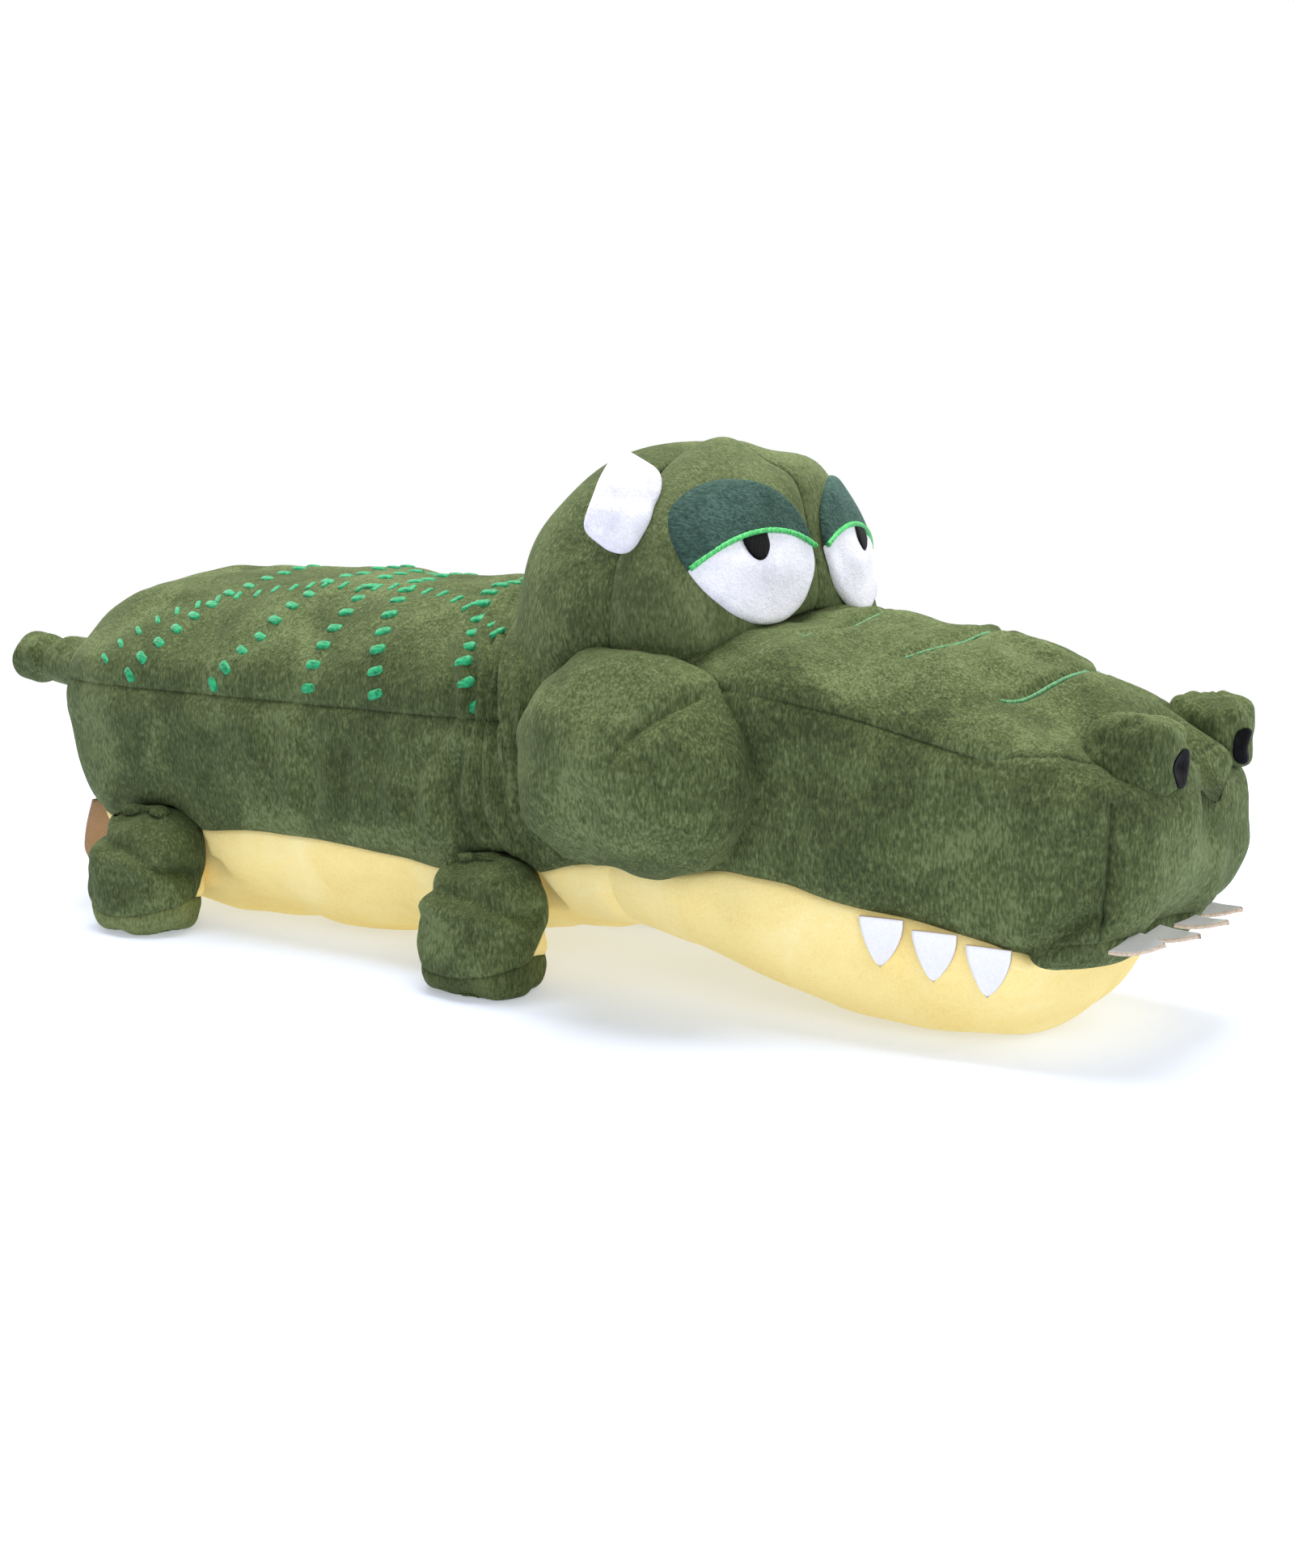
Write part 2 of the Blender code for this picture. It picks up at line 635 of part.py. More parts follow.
def head_pieces(neck, floor):
    torso_room = torso_form("torso_room", SKIN_CLEARANCE)
    head = {g: head_form(f"head_{g}", m) for g, m in HEAD_MARGINS.items()}
    muzzle = {g: muzzle_form(f"muzzle_{g}", m) for g, m in HEAD_MARGINS.items()}
    cheek = {
        side: {g: cheek_form(f"cheek_{side}_{g}", sign, m) for g, m in HEAD_MARGINS.items()}
        for side, sign in SIDES.items()
    }
    cheek_rooms = [cheek[side]["room"] for side in SIDES]
    half = SEAM_GAP / 2

    # The head rests on the cheeks' middles, and only the muzzle goes below them.
    behind = as_cutter(block("hood_region", (-REACH, -REACH, CHEEK_Z), (FACE_SEAM_X - half, REACH, REACH)))
    under = as_cutter(block("under_head", (-REACH, -REACH, -REACH), (REACH, REACH, CHEEK_Z)))
    cover(
        "hood", head["outside"], head["lining"], behind,
        [torso_room, muzzle["room"], *cheek_rooms], green_plush(), neck,
    )
    for side, sign in SIDES.items():
        edges = sorted((sign * half, sign * REACH))
        region = as_cutter(
            block(f"brow_{side}_region", (FACE_SEAM_X + half, edges[0], -REACH), (REACH, edges[1], REACH))
        )
        cover(
            f"brow_{side}", head["outside"], head["lining"], region,
            [muzzle["room"], *cheek_rooms], material("brow_plush", LIGHT_GREEN, 0.9), neck,
        )
    filled("head_filling", head["stuffing"], [torso_room, muzzle["room"], *cheek_rooms, under], neck)

    for side in SIDES:
        made = new_object(f"cheek_{side}", cheek[side]["outside"].data.copy())
        shape(made, "DIFFERENCE", muzzle["room"], torso_room)
        dressed(made, green_plush(), neck)

    muzzle_pieces(neck, floor, muzzle, [torso_room, head["room"], *cheek_rooms], torso_room)
    eye_pieces(neck)


def muzzle_pieces(neck, floor, muzzle, cutters, torso_room):
    """The snout's top, sides and front, the lip, the jaw and their filling."""
    half = SEAM_GAP / 2
    tooth_room = FELT / 2 + SEAM_GAP
    outer, inner = muzzle["outside"], muzzle["lining"]
    top = [*muzzle_line(seam_height, half), (REACH, REACH), (-REACH, REACH)]
    cover(
        "snout_top", outer, inner, as_cutter(prism("snout_top_region", top, -REACH, REACH)),
        cutters, green_plush(), neck,
    )
    seat = LIP_TOP_HEIGHT + 2 * tooth_room
    for side, sign in SIDES.items():
        lower = muzzle_line(mouth_height, half, last=LIP_REAR_X - half)
        upper = muzzle_line(seam_height, -half, last=FRONT_SEAM_X - half)
        outline = [*lower, (LIP_REAR_X - half, seat), (FRONT_SEAM_X - half, seat), *upper[::-1]]
        edges = sorted((sign * SNOUT_SIDE_INNER_Y, sign * REACH))
        region = as_cutter(prism(f"snout_side_{side}_region", outline, *edges))
        cover(f"snout_side_{side}", outer, inner, region, cutters, green_plush(), neck)
    above_lip = muzzle_line(seam_height, -half, FRONT_SEAM_X + half)
    front = [*above_lip, (REACH, seat), (FRONT_SEAM_X + half, seat)]
    cover(
        "snout_front", outer, inner, as_cutter(prism("snout_front_region", front, -REACH, REACH)),
        [], green_plush(), neck,
    )
    above_jaw = muzzle_line(mouth_height, half, LIP_REAR_X + half)
    lip = [*above_jaw, (REACH, LIP_TOP_HEIGHT), (LIP_REAR_X + half, LIP_TOP_HEIGHT)]
    cover(
        "lower_lip", outer, inner, as_cutter(prism("lower_lip_region", lip, -REACH, REACH)),
        [], green_plush(), neck,
    )
    jaw = [*muzzle_line(mouth_height, -half), (REACH, 0.0), (-REACH, 0.0)]
    cover(
        "jaw", outer, inner, as_cutter(prism("jaw_region", jaw, -REACH, REACH)),
        [torso_room], yellow_plush(), neck,
    )
    filled("snout_filling", muzzle["stuffing"], [floor, torso_room], neck)


def eye_pieces(neck):
    """White eye patches with lids and pupils, each a thin layer over the head's form."""
    seat = head_form("eye_seat", SEAM_GAP)
    face = head_form("eye_face", SEAM_GAP + EYE_THICKNESS)
    pupil_seat = head_form("pupil_seat", 2 * SEAM_GAP + EYE_THICKNESS)
    pupil_face = head_form("pupil_face", 2 * SEAM_GAP + EYE_THICKNESS + PUPIL_THICKNESS)
    muzzle_room = muzzle_form("eye_muzzle_room", SEAM_GAP)
    for side, sign in SIDES.items():
        patch = as_cutter(
            prism(
                f"eye_{side}_outline",
                ellipse_outline((sign * EYE_Y, EYE_Z), EYE_HALF_WIDTH, EYE_HALF_HEIGHT),
                HEAD_X,
                REACH,
                "X",
            )
        )
        arcs = {
            piece: as_cutter(
                prism(
                    f"eye_{side}_{piece}_arc",
                    ellipse_outline((sign * LID_ARC_Y, LID_ARC_Z), radius, radius, 48),
                    HEAD_X - COVER,
                    REACH,
                    "X",
                )
            )
            for piece, radius in (("white", LID_ARC_RADIUS), ("lid", LID_ARC_RADIUS + SEAM_GAP))
        }
        white = cover(f"eye_white_{side}", face, seat, patch, [muzzle_room], white_plush(), neck)
        shape(white, "INTERSECT", arcs["white"])
        cover(
            f"eyelid_{side}", face, seat, patch, [arcs["lid"], muzzle_room],
            material("lid_plush", TEAL, 0.9), neck,
        )
        disc = as_cutter(
            prism(
                f"pupil_{side}_outline",
                ellipse_outline((sign * PUPIL_Y, PUPIL_Z), PUPIL_RADIUS, PUPIL_RADIUS, 16),
                HEAD_X,
                REACH,
                "X",
            )
        )
        pupil = cover(
            f"pupil_{side}", pupil_face, pupil_seat, disc, [], material("black_thread", BLACK, 0.6), neck
        )
        shape(pupil, "INTERSECT", arcs["white"])


def nostril_form(name, sign, grow):
    return as_cutter(
        ellipsoid(
            name,
            (NOSTRIL_BUMP_X, sign * NOSTRIL_BUMP_Y, NOSTRIL_BUMP_Z),
            NOSTRIL_BUMP_LENGTH + grow,
            NOSTRIL_BUMP_LENGTH + grow,
            NOSTRIL_BUMP_RADIUS + grow,
            NOSTRIL_BUMP_RADIUS + grow,
            rings=8,
            around=14,
        )
    )


def nostril_pieces(neck):
    room = muzzle_form("nostril_muzzle_room", SEAM_GAP)
    for side, sign in SIDES.items():
        bump = new_object(f"nostril_{side}", nostril_form(f"nostril_{side}_form", sign, 0.0).data.copy())
        shape(bump, "DIFFERENCE", room)
        dressed(bump, green_plush(), neck)
        outline = ellipse_outline(
            (sign * NOSTRIL_Y, NOSTRIL_Z), NOSTRIL_HALF_WIDTH, NOSTRIL_HALF_HEIGHT, 14
        )
        cover(
            f"nostril_spot_{side}",
            nostril_form(f"nostril_spot_{side}_face", sign, SEAM_GAP + PUPIL_THICKNESS),
            nostril_form(f"nostril_spot_{side}_seat", sign, SEAM_GAP),
            as_cutter(prism(f"nostril_spot_{side}_region", outline, NOSTRIL_BUMP_X, REACH, "X")),
            [room],
            material("black_thread", BLACK, 0.6),
            neck,
        )


def head_half_width(x, z):
    """Half width of the head's form at a place on it."""
    reach, power = (HEAD_REAR, HEAD_POWER) if x < HEAD_X else (HEAD_FRONT, FACE_POWER)
    left = 1 - abs((x - HEAD_X) / reach) ** power - abs((z - HEAD_Z) / HEAD_HALF_HEIGHT) ** HEAD_POWER
    return HEAD_HALF_WIDTH * max(left, 0.0) ** (1 / HEAD_POWER)


def ear_pieces():
    """A pad by each side of the face seam, that folds about its rounded inner edge."""
    rise = EAR_THICKNESS / 2
    high, low = (head_half_width(EAR_X, EAR_HEIGHT + step) for step in (rise, -rise))
    slope = math.atan2(low - high, 2 * rise)
    lift = rise - EAR_PRESS
    for side, sign in SIDES.items():
        down = Vector((0.0, sign * math.sin(slope), -math.cos(slope)))
        upright = Vector((0.0, sign * math.cos(slope), math.sin(slope)))
        outward = upright * math.cos(EAR_LEAN_BACK) - Vector((math.sin(EAR_LEAN_BACK), 0.0, 0.0))
        seat = Vector((EAR_X, sign * head_half_width(EAR_X, EAR_HEIGHT), EAR_HEIGHT))
        base = seat + upright * lift
        half = EAR_PROJECTION / 2
        pad = ellipsoid(
            f"ear_{side}",
            (half - rise, 0.0, 0.0),
            half,
            half,
            rise,
            EAR_BASE_LENGTH / 2,
            EAR_POWER,
            rings=8,
            around=12,
        )
        placed(pad, outward, outward.cross(down), down, base)
        dressed(pad, white_plush(), pivot(f"ear_{side}_base", base))


def muzzle_side(x, z):
    """Half width of the muzzle's form below its seam, at a place on it."""
    front_share = max(0.0, (x - MUZZLE_FRONT_X + MUZZLE_FRONT_ROUNDING) / MUZZLE_FRONT_ROUNDING)
    half_width, _, down = muzzle_section(x, 0.0, front_share, 0.0)
    left = 1 - ((seam_height(x) - z) / down) ** MUZZLE_LOWER_POWER
    return half_width * max(left, 0.0) ** (1 / MUZZLE_LOWER_POWER)


def muzzle_front(z):
    """How far forward the muzzle's form comes, under its side seam, at a height."""
    seam = seam_height(FRONT_SEAM_X)
    share = float(rounding((seam - z) / (seam + FLOOR_SINK), FRONT_LOWER_POWER))
    return MUZZLE_FRONT_X - MUZZLE_FRONT_ROUNDING * (1 - share)


def tooth_outline(width, length):
    """(across, along) points of a felt tooth, from one root corner round its tip to the other."""
    right = [
        (width / 2 * wide, length * along) for along, wide in zip(TOOTH_ALONG_SHARES, TOOTH_WIDTH_SHARES)
    ]
    return right + [(-across, along) for across, along in right[-2::-1]]


def tooth(name, width, length, place, across, along):
    """A flat felt tooth on its root: across and along are the directions of its outline."""
    across, along = Vector(across).normalized(), Vector(along).normalized()
    made = prism(name, tooth_outline(width, length), -FELT / 2, FELT / 2)
    placed(made, across, across.cross(along), along, place)
    dressed(made, material("white_felt", WHITE, 0.9), pivot(f"{name}_root", place))


def teeth():
    for side, sign in SIDES.items():
        for number in range(1, SIDE_TOOTH_COUNT + 1):
            x = MUZZLE_FRONT_X - SIDE_TOOTH_SETBACK - SIDE_TOOTH_PITCH * (SIDE_TOOTH_COUNT - number)
            z = mouth_height(x)
            ends = [sign * muzzle_side(x + s * SIDE_TOOTH_WIDTH / 2, z) for s in (-1, 1)]
            place = (x, sum(ends) / 2 + sign * (SEAM_GAP + FELT / 2), z)
            tooth(
                f"side_tooth_{side}_{number}",
                SIDE_TOOTH_WIDTH,
                SIDE_TOOTH_LENGTH,
                place,
                (SIDE_TOOTH_WIDTH, ends[1] - ends[0], 0.0),
                (0.0, 0.0, -1.0),
            )
    z = LIP_TOP_HEIGHT + SEAM_GAP + FELT / 2
    x = muzzle_front(z + FELT / 2 + SEAM_GAP) + SEAM_GAP
    for number in range(FRONT_TOOTH_COUNT):
        y = (number - (FRONT_TOOTH_COUNT - 1) / 2) * FRONT_TOOTH_PITCH
        tooth(
            f"front_tooth_{number + 1}",
            FRONT_TOOTH_WIDTH,
            FRONT_TOOTH_LENGTH,
            (x, y, z),
            (0.0, 1.0, 0.0),
            (1.0, 0.0, 0.0),
        )


def main():
    for obj in list(bpy.data.objects):
        bpy.data.objects.remove(obj, do_unlink=True)
    floor = as_cutter(block("floor", (-REACH, -REACH, -REACH), (REACH, REACH, 0.0)))
    legs = [(end, x, side) for end, x in (("front", LEG_FRONT_X), ("rear", LEG_REAR_X)) for side in SIDES]
    notches = [leg_notch(f"notch_{end}_{side}", x, SIDES[side]) for end, x, side in legs]
    socket = as_cutter(
        ellipsoid(
            "tail_socket",
            (TORSO_REAR_X, 0.0, TAIL_HEIGHT),
            *(TAIL_BALL_RADIUS + SKIN_CLEARANCE,) * 4,
            rings=12,
            around=16,
        )
    )
    torso_pieces(floor, notches, socket)
    tail_pieces()
    for end, x, side in legs:
        leg_pieces(end, x, side, floor)
    neck = pivot("neck", (NECK_X, 0.0, TORSO_SEAM_HEIGHT))
    head_pieces(neck, floor)
    nostril_pieces(neck)
    ear_pieces()
    teeth()


main()
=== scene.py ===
"""The dressed look of a plush crocodile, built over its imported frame: +X is towards the nose, +Y its left.

Every stuffed part is a form with a formula. Its covers are panels cut from that form along the seams, and
each panel lies where its solid is.
"""

import logging
import math
from dataclasses import dataclass, field
from enum import Enum
from typing import Callable, Iterable, Sequence

import bmesh
import bpy
import numpy as np
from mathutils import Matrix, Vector


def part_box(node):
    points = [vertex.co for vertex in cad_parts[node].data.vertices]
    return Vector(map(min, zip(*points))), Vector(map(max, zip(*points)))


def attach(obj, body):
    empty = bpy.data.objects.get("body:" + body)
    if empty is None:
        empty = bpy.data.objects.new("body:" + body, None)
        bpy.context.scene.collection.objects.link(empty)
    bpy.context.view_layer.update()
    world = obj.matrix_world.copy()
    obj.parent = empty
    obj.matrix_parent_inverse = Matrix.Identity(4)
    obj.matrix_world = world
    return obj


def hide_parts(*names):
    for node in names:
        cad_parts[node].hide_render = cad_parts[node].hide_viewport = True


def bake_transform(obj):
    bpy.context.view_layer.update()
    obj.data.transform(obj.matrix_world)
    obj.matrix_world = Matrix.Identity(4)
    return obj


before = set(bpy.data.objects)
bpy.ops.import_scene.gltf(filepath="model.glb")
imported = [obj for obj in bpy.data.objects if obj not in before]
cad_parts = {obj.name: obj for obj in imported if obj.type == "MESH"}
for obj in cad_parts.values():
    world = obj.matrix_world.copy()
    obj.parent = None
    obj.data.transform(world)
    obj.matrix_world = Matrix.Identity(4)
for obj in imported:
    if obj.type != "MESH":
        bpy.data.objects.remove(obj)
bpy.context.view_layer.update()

Array = np.ndarray
Material = bpy.types.Material
Spans = dict[str, tuple[int, int, int, int | None, Material, str]]
LOG = logging.getLogger("crocodile")
UP = np.array((0.0, 0.0, 1.0))

# Thicknesses: the plush covers, the eyes' patches, satin embroidery and the tan sheet of painted shade at the
# rear.
COVER = 0.0022
PATCH = 0.0008
SATIN = 0.0006
SHADE_SHEET = 0.0012
# How far the covers stay over the floor, so that the two never share a plane.
FLOOR_CONTACT = 0.0006
# Vertices nearer than this are one, and edges shorter than the second are none.
WELD = 0.00002
SLIVER = 0.000001


class Side(Enum):
    """The two sides of the toy, by the sign of Y."""

    RIGHT = -1
    LEFT = 1

    @property
    def label(self) -> str:
        """The side's name as the pieces use it."""
        return self.name.lower()


# ---- Shape helpers ----


def ease(share: Array) -> Array:
    """A smooth step: 3 t squared less 2 t cubed, held at 0 and 1 outside.

    Args:
        share: Where along the step, 0 to 1.

    Returns:
        The eased share.
    """
    held = np.clip(share, 0.0, 1.0)
    return held * held * (3.0 - 2.0 * held)


def monotone(x: Array, places: Sequence[float], values: Sequence[float]) -> Array:
    """A smooth curve through given values that never overshoots them: cubic pieces with harmonic slopes.

    Args:
        x: Where to read the curve.
        places: Rising places of the given values.
        values: The values there.

    Returns:
        The curve's values, held level beyond its ends.
    """
    px, py = np.asarray(places, float), np.asarray(values, float)
    step = np.diff(px)
    rise = np.diff(py) / step
    slope = np.zeros_like(py)
    same = rise[:-1] * rise[1:] > 0
    slope[1:-1] = np.where(same, 2 * rise[:-1] * rise[1:] / np.where(same, rise[:-1] + rise[1:], 1.0), 0.0)
    held = np.clip(np.asarray(x, float), px[0], px[-1])
    k = np.clip(np.searchsorted(px, held, side="right") - 1, 0, len(step) - 1)
    t = (held - px[k]) / step[k]
    return (
        py[k] * (1 + 2 * t) * (1 - t) ** 2
        + slope[k] * step[k] * t * (1 - t) ** 2
        + py[k + 1] * t * t * (3 - 2 * t)
        + slope[k + 1] * step[k] * t * t * (t - 1)
    )


def bulge(share: Array, power: float) -> Array:
    """A rounded end: the power root of 1 less the share to that power, from 1 at its start to 0 at its tip.

    Args:
        share: How far along the end, 0 to 1.
        power: 2 for a circle, more for a boxier end.

    Returns:
        What is left of the size there.
    """
    return np.clip(1 - np.clip(share, 0, 1) ** power, 0, None) ** (1 / power)


def round_reach(angle: Array, power: float) -> Array:
    """The radius of a unit superellipse in a direction.

    Args:
        angle: The direction, in radians.
        power: 2 for a circle, more for a boxier outline.

    Returns:
        The inverse power root of the sum of the powers of cosine and sine.
    """
    return (np.abs(np.cos(angle)) ** power + np.abs(np.sin(angle)) ** power) ** (-1 / power)


def wobble(points: Array, length: float | tuple[float, float, float], seed: int, waves: int = 14) -> Array:
    """Smooth noise: the sum of plane waves of about one length, in seeded directions and phases.

    Args:
        points: Places, with x, y and z last.
        length: The waves' length in metres, or one for each axis.
        seed: What fixes the directions and phases.
        waves: How many waves are added.

    Returns:
        Noise of about unit size.
    """
    random = np.random.default_rng(seed)
    heading = random.normal(size=(waves, 3))
    heading /= np.linalg.norm(heading, axis=1, keepdims=True)
    heading *= random.uniform(0.7, 1.4, size=(waves, 1)) * 2 * math.pi / np.asarray(length, float)
    phase = random.uniform(0, 2 * math.pi, waves)
    return np.cos(points @ heading.T + phase).sum(axis=-1) / math.sqrt(waves / 2)


def valley(distance: Array, depth: float, width: float) -> Array:
    """A sewn crease: the depth times the exponential of less the distance over the width.

    Args:
        distance: How far from the seam.
        depth: How deep the seam lies.
        width: How soon the fabric swells again.

    Returns:
        How far the fabric is pulled in.
    """
    return depth * np.exp(-np.abs(distance) / width)


def groove(distance: Array, depth: float, width: float) -> Array:
    """A soft fold: the depth times a bell curve of the distance over the width."""
    return depth * np.exp(-((distance / width) ** 2))


def folds(distance: Array, steps: Sequence[tuple[float, float, float]], stretch: Array | float = 1.0) -> Array:
    """Soft folds side by side: the sum of grooves, where a negative depth is a ridge.

    Args:
        distance: How far from where the folds start.
        steps: Each fold's own distance, depth and width.
        stretch: How much the folds' own distances grow.

    Returns:
        How far the fabric is pulled in.
    """
    return sum(groove(distance - at * stretch, deep, width) for at, deep, width in steps)


def nestle(share: Array, size: float, depth: float, width: float) -> Array:
    """How far a cover is pulled in beside another form, so that the two meet in a crease.

    Args:
        share: The other form's share, 1 on its surface.
        size: The other form's size, which turns a share into a distance.
        depth: How deep the crease is.
        width: How soon the cover swells again.

    Returns:
        The pull, deepest on the other form's surface and inside it.
    """
    return valley(np.maximum(share - 1, 0) * size, depth, width)


def halved(inside: Callable[[Array], Array], low: Array, high: Array, steps: int = 26) -> Array:
    """The value at which a test turns false, found by halving the span again and again.

    Args:
        inside: Says for an array of values which pass.
        low: Values that pass.
        high: Values that fail.
        steps: How often the span is halved.

    Returns:
        The values where the test turns.
    """
    for _ in range(steps):
        middle = (low + high) / 2
        passed = inside(middle)
        low, high = np.where(passed, middle, low), np.where(passed, high, middle)
    return low


def grid_normals(points: Array, closed: bool = False) -> Array:
    """Unit normals of a grid surface: the cross product of its two gradients.

    Args:
        points: Rows and columns of points.
        closed: Whether the last column joins the first.

    Returns:
        A normal for each point.
    """
    along = np.gradient(points, axis=0)
    if closed:
        across = (np.roll(points, -1, axis=1) - np.roll(points, 1, axis=1)) / 2
    else:
        across = np.gradient(points, axis=1)
    normal = np.cross(along, across)
    return normal / np.maximum(np.linalg.norm(normal, axis=-1, keepdims=True), 1e-12)


def perimeter(points: Array) -> Array:
    """The distance walked along a row of points."""
    steps = np.linalg.norm(np.diff(points, axis=0), axis=1)
    return np.concatenate([[0.0], np.cumsum(steps)])


def full_turn(count: int) -> Array:
    """Angles evenly round a full turn, without its end, which is its start again."""
    return np.linspace(0, 2 * math.pi, count, endpoint=False)


def placed(x: Array | float, y: Array | float, z: Array | float) -> Array:
    """Places from their coordinates, each repeated to the shape of all three."""
    return np.stack(np.broadcast_arrays(x, y, z), axis=-1)


# ---- Meshes and pieces ----


def grid_faces(rows: int, columns: int, closed: bool = False) -> Array:
    """Faces of a grid: one for each patch of four neighbours, as indexes of its points row by row.

    Args:
        rows: How many rows the grid has.
        columns: How many columns it has.
        closed: Whether the last column joins the first.

    Returns:
        One face in each row.
    """
    index = np.arange(rows * columns).reshape(rows, columns)
    if closed:
        index = np.concatenate([index, index[:, :1]], axis=1)
    corners = [index[:-1, :-1], index[1:, :-1], index[1:, 1:], index[:-1, 1:]]
    return np.stack(corners, axis=-1).reshape(-1, 4)


def grid_object(name: str, points: Array, closed: bool = False, inside: Sequence[float] | None = None):
    """Turns a grid of points into a welded, smooth mesh object whose faces point outwards.

    Rows that shrink to a point are welded into a pole.

    Args:
        name: The piece's name.
        points: Rows and columns of points.
        closed: Whether the last column joins the first.
        inside: A place on the inner side, or the grid's middle if there is none.

    Returns:
        The new object, at the origin.
    """
    corners = grid_faces(*points.shape[:2], closed)
    flat = points.reshape(-1, 3)
    quads = flat[corners]
    face = np.cross(quads[:, 2] - quads[:, 0], quads[:, 3] - quads[:, 1])
    centre = flat.mean(axis=0) if inside is None else np.asarray(inside, float)
    if (face * (quads.mean(axis=1) - centre)).sum() < 0:
        corners = corners[:, ::-1]
    return mesh_object(name, flat, corners)


def mesh_object(name: str, vertices: Array, faces: Array):
    """A welded, smooth mesh object from arrays of vertices and faces.

    Args:
        name: The piece's name.
        vertices: One place in each row.
        faces: One face in each row, as indexes of vertices.

    Returns:
        The new object, at the origin.
    """
    mesh = bpy.data.meshes.new(name)
    mesh.from_pydata(np.asarray(vertices, float).tolist(), [], np.asarray(faces).tolist())
    made = bmesh.new()
    made.from_mesh(mesh)
    bmesh.ops.remove_doubles(made, verts=made.verts, dist=WELD)
    bmesh.ops.dissolve_degenerate(made, edges=made.edges, dist=SLIVER)
    made.to_mesh(mesh)
    made.free()
    mesh.polygons.foreach_set("use_smooth", np.ones(len(mesh.polygons), bool))
    obj = bpy.data.objects.new(name, mesh)
    bpy.context.scene.collection.objects.link(obj)
    return obj


def tube_object(name: str, path: Array, radius: Array | float, around: int = 8):
    """A tube carried along a path, closed at both ends.

    At each place the ring lies in the plane of two directions at right angles to the path.

    Args:
        name: The piece's name.
        path: The centreline's points.
        radius: One radius, or one for each point.
        around: How many points each ring has.

    Returns:
        The new object.
    """
    heading = np.gradient(path, axis=0)
    heading /= np.linalg.norm(heading, axis=1, keepdims=True)
    side = np.cross(heading, UP)
    side /= np.maximum(np.linalg.norm(side, axis=1, keepdims=True), 1e-9)
    upward = np.cross(side, heading)
    turn = full_turn(around)
    size = np.broadcast_to(np.asarray(radius, float), len(path))[:, None, None]
    ring = np.cos(turn)[None, :, None] * side[:, None] + np.sin(turn)[None, :, None] * upward[:, None]
    rings = path[:, None] + size * ring
    ends = [np.repeat(path[k][None, None], around, axis=1) for k in (0, -1)]
    middle = path[len(path) // 2]
    return grid_object(name, np.concatenate([ends[0], rings, ends[1]]), closed=True, inside=middle)


@dataclass(frozen=True)
class Place:
    """What a piece moves with: one body, or two, though a piece given a second body hangs on neither.

    Attributes:
        body: The body that the piece rides on, or the first of two.
        other: A second body; a piece given one is hung on neither body.
        start: Not used.
        end: Not used.
    """

    body: str
    other: str | None = None
    start: tuple[float, float, float] = (0.0, 0.0, 0.0)
    end: tuple[float, float, float] = (0.0, 0.0, 0.0)

    def take(self, obj: bpy.types.Object) -> None:
        """Hangs a finished piece on its body, or with a second body bakes its place into its mesh and hangs it
        on neither.
        """
        if self.other is None:
            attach(obj, self.body)
        else:
            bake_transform(obj)


def piece(
    obj: bpy.types.Object,
    place: Place,
    finish: Material,
    nodes: Iterable[str] = (),
    wall: float = 0.0,
) -> bpy.types.Object:
    """Finishes a piece: its material, its wall, what it stands for and what it moves with.

    Args:
        obj: The piece, with its final mesh.
        place: What it moves with.
        finish: Its material.
        nodes: The solids that it stands for.
        wall: The fabric's thickness, for an open panel.

    Returns:
        The same object.
    """
    obj.data.materials.append(finish)
    if wall:
        solid = obj.modifiers.new("wall", "SOLIDIFY")
        solid.thickness = wall
        solid.offset = -1.0
    place.take(obj)
    nodes = list(nodes)
    if nodes:
        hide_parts(*nodes)
    LOG.info("piece %s: %d faces, stands for %s", obj.name, len(obj.data.polygons), nodes)
    return obj


def cut_panels(
    points: Array, spans: Spans, inside: tuple[float, float, float], place: Place, filling: str
) -> None:
    """Cuts a sewn form into its panels and finishes each. The first one stands for the filling as well.

    Args:
        points: Rows and columns of places on the sewn form.
        spans: Each panel's first and last row, first and next column, finish and slot, by its name.
        inside: A place inside the form.
        place: What the panels move with.
        filling: The filling's name.
    """
    for number, (name, (first, last, left, right, finish, slot)) in enumerate(spans.items()):
        obj = grid_object(f"{name}_cover", points[first : last + 1, left:right], inside=inside)
        piece(obj, place, finish, [name] if number else [name, filling], COVER)


# ---- Finishes ----


